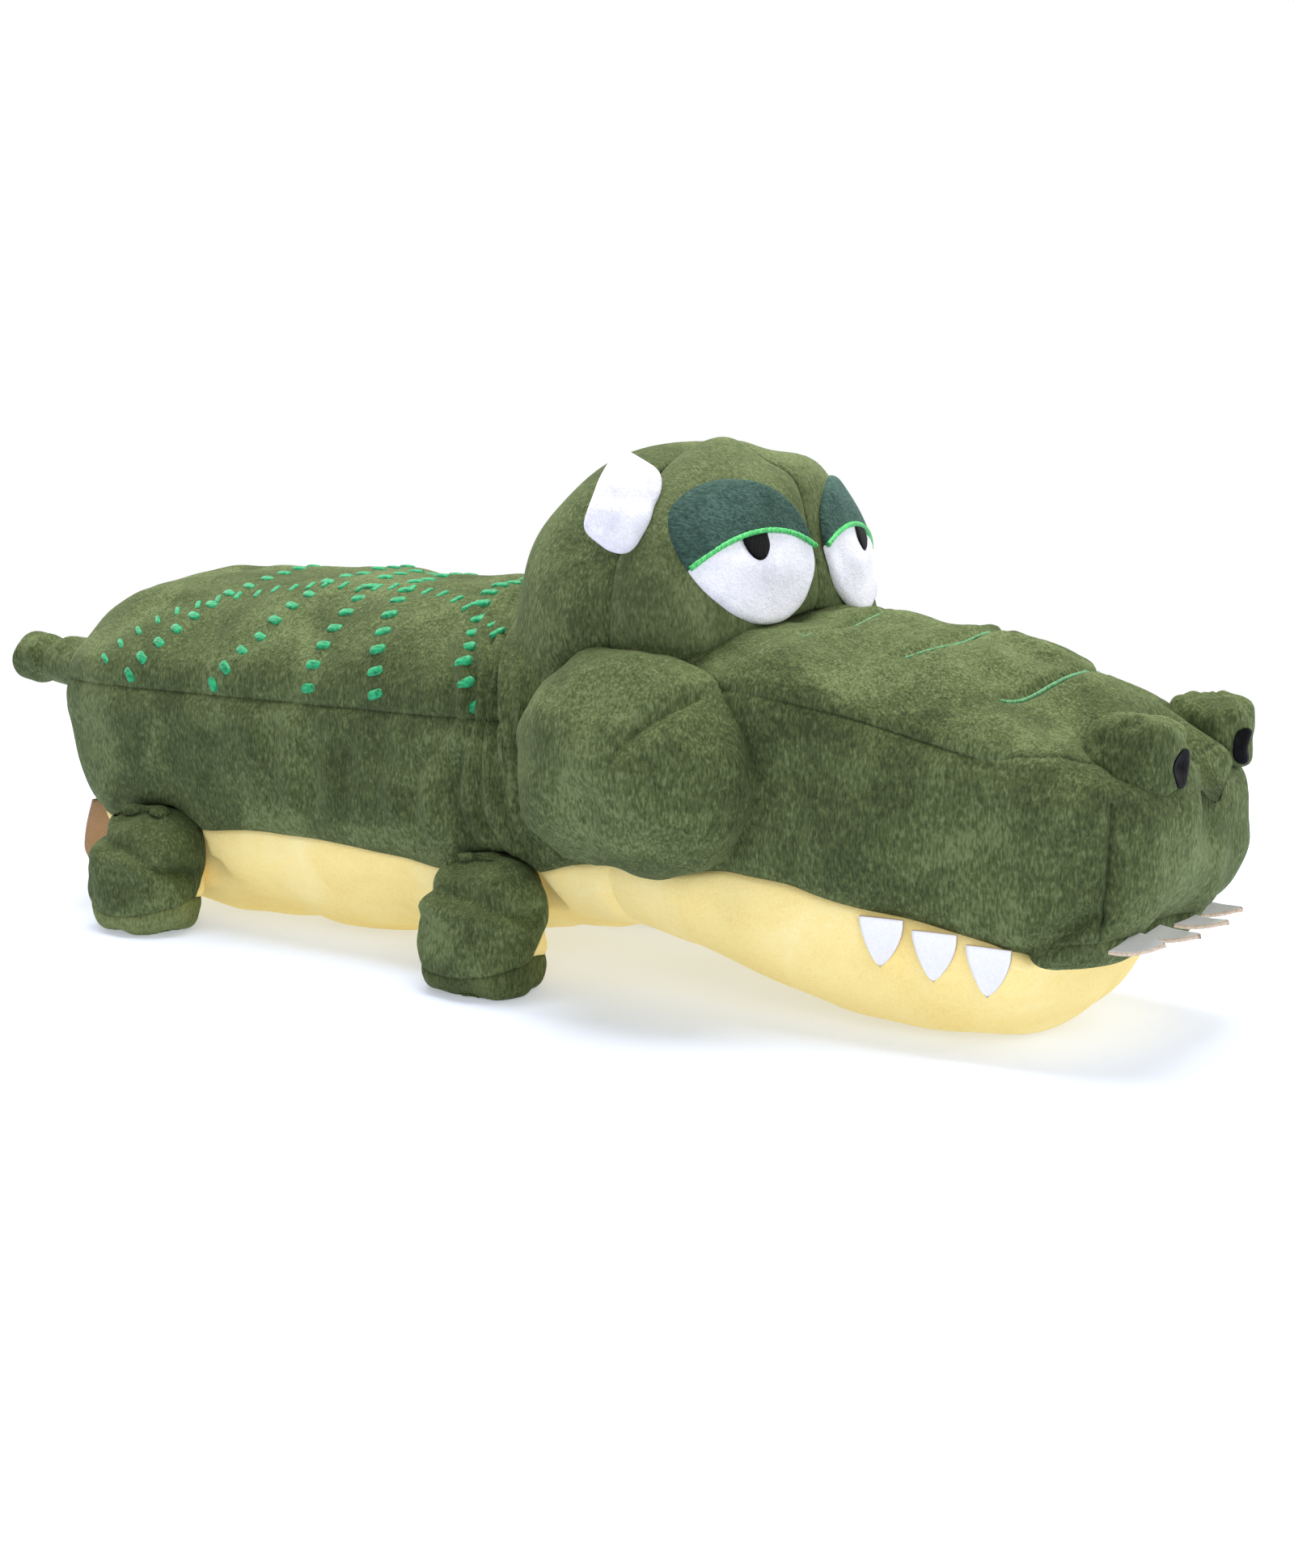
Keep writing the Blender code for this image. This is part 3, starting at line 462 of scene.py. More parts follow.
class Graph:
    """A material's nodes, added and linked with few words."""

    def __init__(self, name: str) -> None:
        """Starts a material with its Principled shader."""
        self.material = bpy.data.materials.new(name)
        self.material.use_nodes = True
        self.tree = self.material.node_tree
        self.shader = self.tree.nodes["Principled BSDF"]
        self.place = self.node("ShaderNodeTexCoord").outputs["Object"]

    def node(self, kind: str, **settings) -> bpy.types.Node:
        """Adds a node: sockets by their names with _ for a space, other settings as attributes."""
        made = self.tree.nodes.new(kind)
        for key, value in settings.items():
            socket = made.inputs.get(key.replace("_", " "))
            if socket is None:
                setattr(made, key, value)
            elif isinstance(value, bpy.types.NodeSocket):
                self.tree.links.new(value, socket)
            else:
                socket.default_value = value
        return made

    def mapped(self, scale: tuple[float, float, float]) -> bpy.types.NodeSocket:
        """The object's own coordinates, stretched."""
        return self.node("ShaderNodeMapping", Vector=self.place, Scale=scale).outputs["Vector"]

    def noise(self, where: bpy.types.NodeSocket, scale: float, detail: float = 2.0, warp: float = 0.0):
        """A noise's value at a place."""
        made = self.node("ShaderNodeTexNoise", Vector=where, Scale=scale, Detail=detail, Distortion=warp)
        return made.outputs["Fac"]

    def sum(self, *terms: tuple[bpy.types.NodeSocket, float]) -> bpy.types.NodeSocket:
        """The weighted sum of some values."""
        total = None
        for value, weight in terms:
            made = self.node("ShaderNodeMath", operation="MULTIPLY_ADD")
            self.tree.links.new(value, made.inputs[0])
            made.inputs[1].default_value = weight
            made.inputs[2].default_value = 0.0
            if total is not None:
                self.tree.links.new(total, made.inputs[2])
            total = made.outputs[0]
        return total

    def ramp(self, value: bpy.types.NodeSocket, stops: Sequence[tuple[float, tuple]]) -> bpy.types.NodeSocket:
        """A colour ramp with its stops."""
        made = self.node("ShaderNodeValToRGB", Fac=value)
        band = made.color_ramp
        while len(band.elements) < len(stops):
            band.elements.new(0.5)
        for element, (at, colour) in zip(band.elements, stops):
            element.position = at
            element.color = (*colour, 1.0)
        return made.outputs["Color"]

    def bump(self, height: bpy.types.NodeSocket, strength: float, distance: float, under=None):
        """A bump's normal, over another if one is given."""
        made = self.node("ShaderNodeBump", Height=height, Strength=strength, Distance=distance)
        if under is not None:
            self.tree.links.new(under, made.inputs["Normal"])
        return made.outputs["Normal"]

    def dress(self, colour=None, normal=None, **constants: float | tuple) -> Material:
        """Links the colour and normal, and sets the rest on the shader's own sockets."""
        if colour is not None:
            self.tree.links.new(colour, self.shader.inputs["Base Color"])
        if normal is not None:
            self.tree.links.new(normal, self.shader.inputs["Normal"])
        for key, value in constants.items():
            self.shader.inputs[key.replace("_", " ")].default_value = value
        return self.material


def linear(*colour: int) -> tuple[float, float, float]:
    """A display colour of 0 to 255 as linear light: the power 2.4 of its upper range."""
    shares = np.asarray(colour, float) / 255
    light = np.where(shares > 0.04045, ((shares + 0.055) / 1.055) ** 2.4, shares / 12.92)
    return tuple(float(v) for v in light)


@dataclass(frozen=True)
class Plush:
    """Short-pile plush: brushed light and dark areas, clumps of pile and fine streaks along the nap.

    Attributes:
        name: The material's name.
        dark: Its colour in the pile's shade.
        base: Its usual colour.
        light: Its colour on the tips of the pile.
        streak: How the grain is stretched on each axis.
        contrast: How much the grain shows.
        sheen: How much light the pile's tips catch.
        relief: The grain's height in metres.
        grain: How many grains go on a metre.
        spread: How far from the middle tone the dark and the light colour are.
        painted_glow: How much light it gives off of its own: painted light that brightens the pile, though it
            is no lamp.
    """

    name: str
    dark: tuple[int, int, int]
    base: tuple[int, int, int]
    light: tuple[int, int, int]
    streak: tuple[float, float, float] = (1.0, 1.0, 0.3)
    contrast: float = 1.0
    sheen: float = 0.35
    relief: float = 0.0011
    grain: float = 900.0
    spread: float = 0.14
    painted_glow: float = 0.0

    def build(self) -> Material:
        """Makes the material."""
        graph = Graph(self.name)
        pile = graph.noise(graph.mapped(self.streak), self.grain, 2.5, 0.4)
        clumps = graph.noise(graph.place, self.grain * 0.35, 2.0, 0.5)
        brushed = graph.noise(graph.place, 20.0, 4.0, 1.0)
        weights = (0.55 * self.contrast, 0.26 * self.contrast, 0.46)
        tone = graph.sum((pile, weights[0]), (clumps, weights[1]), (brushed, weights[2]))
        middle = sum(weights) / 2
        colour = graph.ramp(
            tone,
            [
                (max(middle - self.spread, 0.0), linear(*self.dark)),
                (middle, linear(*self.base)),
                (min(middle + self.spread, 1.0), linear(*self.light)),
            ],
        )
        height = graph.sum((pile, 0.75), (clumps, 0.6))
        normal = graph.bump(height, 1.0, self.relief)
        return graph.dress(
            colour,
            normal,
            Roughness=0.95,
            Specular_IOR_Level=0.25,
            Sheen_Weight=self.sheen,
            Sheen_Roughness=0.5,
            Sheen_Tint=(*linear(*self.light), 1.0),
            # Emission here is painted light: it brightens the plush as if lit, though it is no lamp.
            Emission_Color=(*linear(*self.base), 1.0),
            Emission_Strength=self.painted_glow,
        )


@dataclass(frozen=True)
class Thread:
    """Satin embroidery: fine threads that lie side by side, with a soft gloss.

    Attributes:
        name: The material's name.
        dark: Its colour between the threads.
        light: Its colour on them.
        across: How many threads go on a metre, on each axis.
        gloss: How much light they mirror.
    """

    name: str
    dark: tuple[int, int, int]
    light: tuple[int, int, int]
    across: tuple[float, float, float] = (300.0, 1500.0, 300.0)
    gloss: float = 0.4

    def build(self) -> Material:
        """Makes the material."""
        graph = Graph(self.name)
        lay = graph.noise(graph.mapped(self.across), 1.0, 1.0, 0.3)
        colour = graph.ramp(lay, [(0.3, linear(*self.dark)), (0.62, linear(*self.light))])
        normal = graph.bump(lay, 0.6, 0.0005)
        return graph.dress(colour, normal, Roughness=0.5, Specular_IOR_Level=self.gloss)


@dataclass(frozen=True)
class Felt:
    """Pressed felt: matted short fibres.

    Attributes:
        name: The material's name.
        base: Its usual colour.
        shade: Its colour in the hollows.
    """

    name: str
    base: tuple[int, int, int]
    shade: tuple[int, int, int]

    def build(self) -> Material:
        """Makes the material."""
        graph = Graph(self.name)
        fibres = graph.noise(graph.place, 900.0, 4.0, 1.5)
        mats = graph.noise(graph.place, 180.0, 2.0)
        colour = graph.ramp(fibres, [(0.3, linear(*self.shade)), (0.6, linear(*self.base))])
        normal = graph.bump(graph.sum((fibres, 0.6), (mats, 0.5)), 0.4, 0.0006)
        return graph.dress(colour, normal, Roughness=0.95, Sheen_Weight=0.2)


@dataclass
class Finishes:
    """Every finish of the toy, made once."""

    green: Material = field(
        default_factory=Plush("green_plush", (54, 65, 36), (80, 92, 54), (112, 125, 82)).build
    )
    brow: Material = field(
        default_factory=Plush("brow_plush", (68, 79, 47), (90, 101, 64), (114, 126, 85)).build
    )
    sole: Material = field(
        default_factory=Plush("sole_plush", (74, 84, 44), (98, 108, 64), (124, 134, 86)).build
    )
    dark_sole: Material = field(
        default_factory=Plush("dark_sole_plush", (52, 62, 32), (74, 84, 48), (98, 108, 66)).build
    )
    yellow: Material = field(
        default_factory=Plush(
            "yellow_plush", (238, 212, 132), (246, 224, 150), (252, 234, 172), (1, 1, 1), 0.5, 0.15, 0.0004,
            # The yellow's glow is painted light, which brightens the belly and the jaw.
            painted_glow=0.08,
        ).build
    )
    white: Material = field(
        default_factory=Plush(
            "white_plush", (222, 221, 232), (240, 239, 248), (252, 252, 255), (1, 1, 1), 0.6, 0.3, 0.0007
        ).build
    )
    lid: Material = field(
        default_factory=Plush("lid_plush", (36, 58, 50), (52, 78, 69), (72, 98, 90), (0.45, 0.6, 1.0)).build
    )
    black: Material = field(
        default_factory=Thread("black_thread", (3, 3, 4), (12, 12, 14), gloss=0.06).build
    )
    emerald: Material = field(
        default_factory=Thread("emerald_thread", (6, 104, 62), (26, 172, 110)).build
    )
    lid_thread: Material = field(
        default_factory=Thread("lid_thread", (40, 140, 66), (90, 215, 120), (1500.0, 1500.0, 300.0)).build
    )
    tuck_thread: Material = field(
        default_factory=Thread("tuck_thread", (60, 110, 70), (100, 165, 112), (900.0, 900.0, 300.0)).build
    )
    felt: Material = field(
        default_factory=Felt("white_felt", (250, 249, 250), (240, 239, 241)).build
    )
    felt_edge: Material = field(
        default_factory=Felt("felt_edge", (226, 206, 182), (190, 164, 136)).build
    )
    # A tan felt for painted shade: the yellow belly's rear end in shadow.
    tag: Material = field(
        default_factory=Felt("painted_shade_sheet", (186, 152, 122), (160, 126, 98)).build
    )


# ---- Underside, neck and other lines that several parts share ----

# The underside over the floor, the hood's rim and the belly's seam, as lines through given points.
UNDERSIDE_X = (-0.28, -0.07, -0.01, 0.046, 0.08, 0.118, 0.150, 0.182, 0.214, 0.25, 0.28)
UNDERSIDE_Z = (0.0, 0.0, 0.005, 0.014, 0.023, 0.029, 0.026, 0.018, 0.009, 0.001, 0.0)
RIM_Z = (0.050, 0.062, 0.075, 0.090, 0.117, 0.150, 0.170, 0.186, 0.199)
RIM_X = (0.102, 0.096, 0.088, 0.081, 0.0755, 0.072, 0.063, 0.052, 0.044)
BELLY_X = (-0.28, -0.16, -0.11, -0.055, 0.0, 0.03, 0.08, 0.11, 0.14)
BELLY_Z = (0.057, 0.055, 0.060, 0.061, 0.057, 0.053, 0.058, 0.066, 0.0695)

# What the head's pieces move with, and the torso's, which name the head as a second body and so hang on
# neither.
NECK = Place("torso", "head", (-0.045, 0.0, 0.135), (0.072, 0.0, 0.135))
HEAD = Place("head")

# Folds, each with its distance, its depth and its width: behind the hood's rim, on the hood, in a leg's
# outer side, at a tuck of the snout, at the lip's corner and over a nostril.
NECK_FOLDS = (
    (0.004, 0.0050, 0.0030),
    (0.0078, -0.0014, 0.0022),
    (0.0115, 0.0046, 0.0028),
    (0.016, -0.0014, 0.0026),
    (0.0205, 0.0034, 0.0034),
    (0.0275, -0.0018, 0.0045),
    (0.034, 0.0022, 0.0045),
)
HOOD_FOLDS = (
    (0.009, 0.0034, 0.0028),
    (0.0135, -0.0014, 0.003),
    (0.0185, 0.0028, 0.003),
    (0.028, 0.0018, 0.0035),
)
LEG_FOLDS = ((-0.0125, 0.0008, 0.0032), (-0.0065, -0.0007, 0.003), (0.0085, -0.0010, 0.0042))
TUCK_FOLDS = ((0.0, 0.0030, 0.0026), (-0.0065, -0.0010, 0.005))
CORNER_FOLDS = ((0.0, 0.0062, 0.0030), (0.0085, -0.0014, 0.0035))
NOSTRIL_FOLDS = ((0.3665, 0.0021, 0.0026), (0.3745, 0.0013, 0.0026))


def belly_line(x: Array) -> Array:
    """Height of the seam between the green flank and the yellow belly."""
    return monotone(x, BELLY_X, BELLY_Z)


def underside(x: Array) -> Array:
    """Height of the toy's underside over the floor, which rises under the throat."""
    return monotone(x, UNDERSIDE_X, UNDERSIDE_Z)


@dataclass
class Form:
    """A stuffed form round a level axis, with a share that is 1 on its surface and less inside it."""

    def share(self, points: Array) -> Array:
        """The share at some places.

        Args:
            points: Places, with x, y and z last.

        Returns:
            1 on the surface, less inside and more outside.
        """
        raise NotImplementedError

    def reach(self, origins: Array, headings: Array, tilts: Array) -> Array:
        """Places on the surface, met by rays from the axis.

        Each ray starts at its column's origin, and leaves along the column's heading turned up by the
        row's tilt. Halving finds where the share turns 1.

        Args:
            origins: One place for each column.
            headings: One level direction for each column.
            tilts: Rows and columns of angles over the level.

        Returns:
            Rows and columns of places.
        """
        rays = headings[None] * np.cos(tilts)[..., None] + UP * np.sin(tilts)[..., None]
        low = np.zeros(tilts.shape)
        span = halved(lambda reach: self.share(origins[None] + rays * reach[..., None]) < 1, low, low + 0.4)
        return origins[None] + rays * span[..., None]

    def normals(self, points: Array) -> Array:
        """Unit normals of the surface, from the share's differences on each axis.

        Args:
            points: Places on the surface.

        Returns:
            A normal for each.
        """
        step = 0.0008
        slopes = [self.share(points + step * axis) - self.share(points - step * axis) for axis in np.eye(3)]
        normal = np.stack(slopes, axis=-1)
        return normal / np.maximum(np.linalg.norm(normal, axis=-1, keepdims=True), 1e-12)

    def tilt_at(self, origins: Array, headings: Array, height: Array) -> Array:
        """How far down each column's ray has to tilt to meet the surface at a height.

        Args:
            origins: One place for each column.
            headings: One level direction for each column.
            height: One height for each column.

        Returns:
            The angle below the level, at most a quarter turn.
        """
        low = np.zeros(len(origins))

        def above(tilt: Array) -> Array:
            return self.reach(origins, headings, -tilt[None])[0, :, 2] > height

        return halved(above, low, low + math.pi / 2, 18)


def outline(straight: Array, fan_x: float, fan: Array, side_first: int = -1) -> tuple[Array, Array]:
    """Origins and headings of columns: up one side, round the end in a fan, and back along the other side.

    Args:
        straight: Places on the axis, in order towards the fan.
        fan_x: Where the fan's rays start.
        fan: Level angles of the fan, from the +X direction.
        side_first: The sign of Y of the first side.

    Returns:
        The origins' x, and the headings as rows of x, y and z.
    """
    first = np.tile((0.0, float(side_first), 0.0), (len(straight), 1))
    turned = placed(np.cos(fan), np.sin(fan), 0.0)
    headings = np.concatenate([first, turned, -first])
    places = np.concatenate([straight, np.full(len(fan), fan_x), straight[::-1]])
    return places, headings


def tilt_bands(lines: Sequence[Array], rows: Sequence[int]) -> tuple[Array, Array]:
    """Tilts of a form's rows: from straight up to the level, then down from line to line to straight down.

    Args:
        lines: Each line's tilt below the level in every column, the upper line first.
        rows: How many rows each band has, the upper band first.

    Returns:
        Rows and columns of tilts, and the last row of each band.
    """
    level = np.zeros_like(lines[0])
    ends = [level, *lines, level + math.pi / 2]
    tilts = [np.radians(np.linspace(90, 0, rows[0]))[:, None] + level]
    for upper, lower, count in zip(ends, ends[1:], rows[1:]):
        tilts.append(-(upper + np.linspace(0, 1, count)[1:, None] * (lower - upper)))
    return np.concatenate(tilts), np.cumsum([len(band) for band in tilts]) - 1


# ---- Torso ----


@dataclass
class Torso(Form):
    """The torso: a back panel, two flanks and a belly panel round one form.

    Its cross-section is an upper and a lower superellipse that meet at the side seams. Towards the rear
    both shrink as rounded ends do.
    """

    rear_x: float = -0.279
    front_x: float = 0.132
    rounding: float = 0.100
    half_width: float = 0.100
    seam_z: float = 0.135
    top_z: float = 0.199
    leg_xs: tuple[float, float] = (0.062, -0.180)
    leg_inner_y: float = 0.0752
    hip_z: float = 0.042
    hip_radius: float = 0.0305

    def share(self, points: Array) -> Array:
        """The larger rule of the two halves: powers of width and height shares that add up to 1."""
        x, y, z = points[..., 0], points[..., 1], points[..., 2]
        back = np.clip((self.rear_x + self.rounding - x) / self.rounding, 0, 1.6)
        wide = self.half_width * monotone(x, (0.02, 0.120, 0.132), (1.0, 0.98, 0.93))
        wide = wide * np.maximum(bulge(back, 3.5), 1e-4)
        shrink = np.maximum(bulge(back, 2.5), 1e-4)
        up = (self.top_z - self.seam_z) * monotone(x, (0.03, 0.12), (1.0, 0.9)) * shrink
        throat = 0.0022 * ease((x - 0.122) / 0.010)
        down = (self.seam_z - underside(x) + 0.0005 - throat) * shrink
        above = z >= self.seam_z
        upper = monotone(x, (-0.25, -0.05, 0.05), (1.72, 1.85, 2.0))
        lower = monotone(x, (-0.05, 0.12), (2.6, 3.6))
        power = np.where(above, upper, lower)
        tall = np.where(above, up, down)
        total = np.abs(y / wide) ** power + np.abs((z - self.seam_z) / tall) ** power
        return np.where(back < 1, total ** (1 / power), 2.0)

    def columns(self) -> tuple[Array, Array]:
        """Origins and headings from the right of the neck round the rear to the left of the neck."""
        fan_x = self.rear_x + self.rounding + 0.015
        neck = np.linspace(self.front_x, 0.012, 100, endpoint=False)
        straight = np.concatenate([neck, np.linspace(0.012, fan_x, 66, endpoint=False)])
        fan = np.radians(np.linspace(-90, -270, 97))
        places, headings = outline(straight, fan_x, fan)
        return placed(places, 0.0, self.seam_z), headings

    def build(self, finishes: Finishes) -> None:
        """Makes the four covers.

        Args:
            finishes: The toy's finishes.
        """
        origins, headings = self.columns()
        belly = self.tilt_at(origins, headings, belly_line(origins[:, 0]))
        belly = np.minimum(belly, math.radians(80))
        tilts, marks = tilt_bands([belly], (44, 34, 40))
        points = self.sew(self.reach(origins, headings, tilts))
        middle = len(origins) // 2
        spans = {
            "back_panel": (0, marks[0], 0, None, finishes.green, "green_plush"),
            "flank_right": (marks[0], marks[1], 0, middle + 1, finishes.green, "green_plush"),
            "flank_left": (marks[0], marks[1], middle, None, finishes.green, "green_plush"),
            "belly_panel": (marks[1], marks[2], 0, None, finishes.yellow, "yellow_plush"),
        }
        cut_panels(points, spans, (-0.1, 0.0, 0.11), NECK, "body_filling")

    def top_at(self, x: Array, y: Array) -> Array:
        """Height of the plain form's back at some places seen from above."""
        low = np.full(np.shape(x), self.seam_z)
        return halved(lambda z: self.share(placed(x, y, z)) < 1, low, low + 0.1)

    def side_at(self, x: Array, z: Array) -> Array:
        """Half width of the plain form at some places seen from the side."""
        low = np.zeros(np.shape(x))
        return halved(lambda y: self.share(placed(x, y, z)) < 1, low, low + 0.2)

    def sew(self, points: Array) -> Array:
        """Pulls the seams in, folds the fabric at the neck, puckers it and presses it on the floor.

        Args:
            points: Rows and columns of places on the plain form.

        Returns:
            The places on the sewn form.
        """
        walk = perimeter(points[points.shape[0] // 2])[None]
        moved = points - self.normals(points) * self.pull(points, walk)[..., None]
        moved = self.press_legs(moved)
        moved[..., 2] = np.maximum(moved[..., 2], FLOOR_CONTACT)
        return moved

    def pull(self, points: Array, walk: Array) -> Array:
        """How far the sewing pulls the cover in: at the seams, in their puckers and in the folds.

        Args:
            points: Places on the plain form.
            walk: Distances along the side seam, which the puckers follow.

        Returns:
            The pull at each place.
        """
        x, z = points[..., 0], points[..., 2]
        seam = np.abs(z - self.seam_z)
        edge = z - belly_line(x)
        pull = valley(seam, 0.0024, 0.0042) - groove(seam - 0.014, 0.0012, 0.008)
        pull = pull + valley(edge, 0.0026, 0.005)
        wave = np.sin(2 * math.pi * walk / 0.016 + 2.4 * wobble(points, 0.07, 3))
        fade = valley(seam - 0.006, 1.0, 0.014) * np.clip(0.6 + 0.6 * wobble(points, 0.09, 4), 0, 2)
        pull = pull + 0.0007 * wave * fade
        drape = wobble(points, (0.022, 0.05, 0.2), 5)
        side = ease((self.seam_z + 0.005 - z) / 0.03) * ease(edge / 0.03)
        pull = pull + 0.0015 * drape * side * ease((x + 0.19) / 0.10)
        rough = 0.0014 * wobble(points, 0.085, 6) * ease(seam / 0.03) + 0.0005 * wobble(points, 0.03, 7)
        pull = pull + rough * (1 - ease((x - 0.095) / 0.02) * (1 - ease((z - 0.075) / 0.02)))
        return pull + self.neck_folds(points)

    def neck_folds(self, points: Array) -> Array:
        """Folds behind the hood's rim: bell-shaped furrows at growing distances from it, deepest at the sides.

        Args:
            points: Places on the form.

        Returns:
            How far each place is pulled in.
        """
        x, y, z = points[..., 0], points[..., 1], points[..., 2]
        behind = monotone(z, RIM_Z, RIM_X) - x
        fan = 1 + 1.1 * ease((0.15 - z) / 0.09)
        bend = behind + 0.003 * wobble(points, (0.08, 0.08, 0.06), 8)
        depth = 0.25 + 0.75 * ease((0.196 - z) / 0.035)
        return folds(bend, NECK_FOLDS, fan) * depth * ease((z - 0.060) / 0.02)

    def press_legs(self, points: Array) -> Array:
        """Presses a hollow for each leg: round about the hip, and flared below it.

        Args:
            points: Places on the sewn form.

        Returns:
            The places with the hollows.
        """
        x, z = points[..., 0], points[..., 2]
        flare = 0.0125 * np.clip(1 - z / self.hip_z, 0, 1)
        for leg_x in self.leg_xs:
            high = np.maximum(z - self.hip_z, 0) * 1.30
            away = np.sqrt((x - leg_x) ** 2 + high**2) - self.hip_radius - flare
            press = 1 - ease(away / np.where(z > self.hip_z, 0.005, 0.012))
            y = points[..., 1]
            over = np.maximum(np.abs(y) - self.leg_inner_y, 0)
            points[..., 1] = y - np.sign(y) * over * press
        return points


# ---- Legs ----


@dataclass
class Leg:
    """A stub leg: an outer, an inner and a sole cover round one form that is round about the hip's axis.

    The outer cover wraps round the top and both ends, and the yellow inner one is narrow at the top.
    """

    end: str
    x: float
    side: Side
    y: float = 0.102
    inner_y: float = 0.0757
    half_depth: float = 0.0262
    hip_z: float = 0.042
    radius: float = 0.0312
    sole_z: float = 0.0155
    top_rise: float = 0.0250
    levels: tuple[float, ...] = (0.0, 0.002, 0.006, 0.012, 0.020, 0.0315, 0.042)
    lengths: tuple[float, ...] = (0.70, 0.84, 0.95, 1.02, 1.04, 0.99, 1.0)
    outer_columns: int = 81

    def build(self, finishes: Finishes) -> None:
        """Makes the leg's three covers.

        Args:
            finishes: The toy's finishes.
        """
        name = f"leg_{self.end}_{self.side.label}"
        points, seam_row = self.surface()
        outer_last = self.outer_columns - 1
        hip = (self.x, self.side.value * self.y)
        place = Place("torso", name, (*hip, 0.072), (*hip, 0.040))
        centre = (*hip, self.hip_z)
        outer = grid_object(f"{name}_outer_cover", points[seam_row:, : outer_last + 1], inside=centre)
        inner = grid_object(f"{name}_inner_cover", points[seam_row:, outer_last:], inside=centre)
        sole = grid_object(f"{name}_sole_cover", points[: seam_row + 1], inside=centre)
        filling = f"{name}_filling"
        sole_finish = finishes.sole if self.end == "rear" else finishes.dark_sole
        piece(outer, place, finishes.green, [f"{name}_outer", filling], COVER)
        piece(inner, place, finishes.yellow, [f"{name}_inner"], COVER)
        piece(sole, place, sole_finish, [f"{name}_sole"], COVER)

    def bow(self, turn: Array) -> Array:
        """How the sole's seam bows: up towards both ends and down on the outer side."""
        return 0.0035 * (np.cos(turn) ** 2) - 0.0042 * np.clip(np.sin(turn), 0, 1)

    def turns(self, z: Array) -> Array:
        """Each column's angle about the leg at some heights.

        The outer cover's columns reach past both ends by an angle that grows with the height.

        Args:
            z: One height for each row.

        Returns:
            Rows and columns of angles.
        """
        least = 26 if self.end == "rear" else 12
        past = math.radians(1) * (least + 44 * ease((z - 0.018) / 0.030))[:, None]
        outer = np.linspace(0, 1, self.outer_columns)[None]
        inner = np.linspace(0, 1, 41)[None, 1:]
        first = -past + (math.pi + 2 * past) * outer
        return np.concatenate([first, math.pi + past + (math.pi - 2 * past) * inner], axis=1)

    def surface(self) -> tuple[Array, int]:
        """The leg's rings from the middle of its sole to its top.

        A ring is a superellipse of the power 2.6. Below the hip its size follows the levels. Above it the
        length is a circle's chord, and the outer side comes in towards the flank.

        Returns:
            Rows and columns of places, and the row of the sole's seam.
        """
        flat = np.linspace(0.02, 0.98, 9)
        low = np.concatenate([np.linspace(0, 0.004, 6), np.linspace(0.005, self.sole_z, 7)])
        high = np.linspace(self.sole_z, self.hip_z, 20)[1:]
        up = np.radians(np.linspace(0, 90, 30))[1:]
        z = np.concatenate([np.zeros(len(flat)), low, high, self.hip_z + self.top_rise * np.sin(up)])
        seam_row = len(flat) + len(low) - 1
        turn = self.turns(z)
        share = monotone(z, self.levels, self.lengths)
        chord = np.clip(1 - np.clip((z - self.hip_z) / self.top_rise, 0, 1) ** 2.4, 0, 1) ** (1 / 2.4)
        is_top = z > self.hip_z
        length = self.radius * np.where(is_top, chord, share)
        shrink = np.concatenate([flat, np.ones(len(z) - len(flat))])
        reach = round_reach(turn, 2.6)
        depth = self.half_depth * np.where(is_top, 1.0, share)[:, None] * shrink[:, None]
        across = depth * reach * np.sin(turn)
        rest = np.clip(1 - (z - self.hip_z) / self.top_rise, 0, 1)
        outward = np.where(is_top, 0.04 + 0.96 * rest**0.72, 1.0)[:, None]
        across = np.where(across > 0, across * outward, across)
        across = across - 0.010 * (1 - outward) * ease(np.sin(turn) / 0.6) * (1 - chord[:, None] ** 3)
        points = placed(
            self.x + (length * shrink)[:, None] * reach * np.cos(turn),
            self.side.value * (self.y + across),
            z[:, None],
        )
        near_seam = groove(points[..., 2] - self.sole_z, 1.0, 0.009) * ease(points[..., 2] / 0.006)
        points[..., 2] += near_seam * self.bow(turn)
        return self.sew(points, turn), seam_row

    def sew(self, points: Array, turn: Array) -> Array:
        """Pulls the seams in, and folds the outer side below the hip's seam.

        Args:
            points: Rows and columns of places on the plain form.
            turn: Each place's angle about the leg.

        Returns:
            The sewn places.
        """
        normal = grid_normals(points)
        centre = np.array((self.x, self.side.value * self.y, self.hip_z))
        if (normal * (points - centre)).sum() < 0:
            normal = -normal
        normal[:, -1] = normal[:, 0] = (normal[:, -1] + normal[:, 0]) / 2
        t, z = (points[..., 0] - self.x) / self.radius, points[..., 2]
        seams = points[:, [0, self.outer_columns - 1]]
        away = np.linalg.norm(points[:, :, None] - seams[:, None], axis=-1).min(axis=-1)
        pull = valley(away, 0.0015, 0.003) * ease(z / 0.01)
        pull = pull + valley(z - self.sole_z - self.bow(turn), 0.0011, 0.0022) * ease(z / 0.004)
        outer = ease((np.sin(turn) + 0.55) / 0.6)
        rear = self.end == "rear"
        arc = 0.0500 - 0.0085 * t - 0.005 * t * t if rear else 0.0525 - 0.003 * t - 0.006 * t * t
        bend = z - arc + 0.0010 * wobble(points, 0.04, 11)
        deep = 0.0044 if rear else 0.0036
        pull = pull + outer * folds(bend, ((0.0, deep, 0.0034), *LEG_FOLDS))
        crease = np.hypot((t + 0.1) * 0.9, (z - 0.026) / self.radius * 1.4) - 0.5
        pull = pull + outer * groove(crease, 0.0009, 0.09) * ease(0.5 - t)
        pull = pull + 0.0010 * wobble(points, 0.028, 12 if rear else 13)
        points = points - normal * pull[..., None]
        points[..., 2] = np.maximum(points[..., 2], FLOOR_CONTACT)
        points[:3, :, 2] = FLOOR_CONTACT
        wall = self.side.value * points[..., 1]
        points[..., 1] = self.side.value * np.maximum(wall, self.inner_y)
        return points


# ---- Tail ----


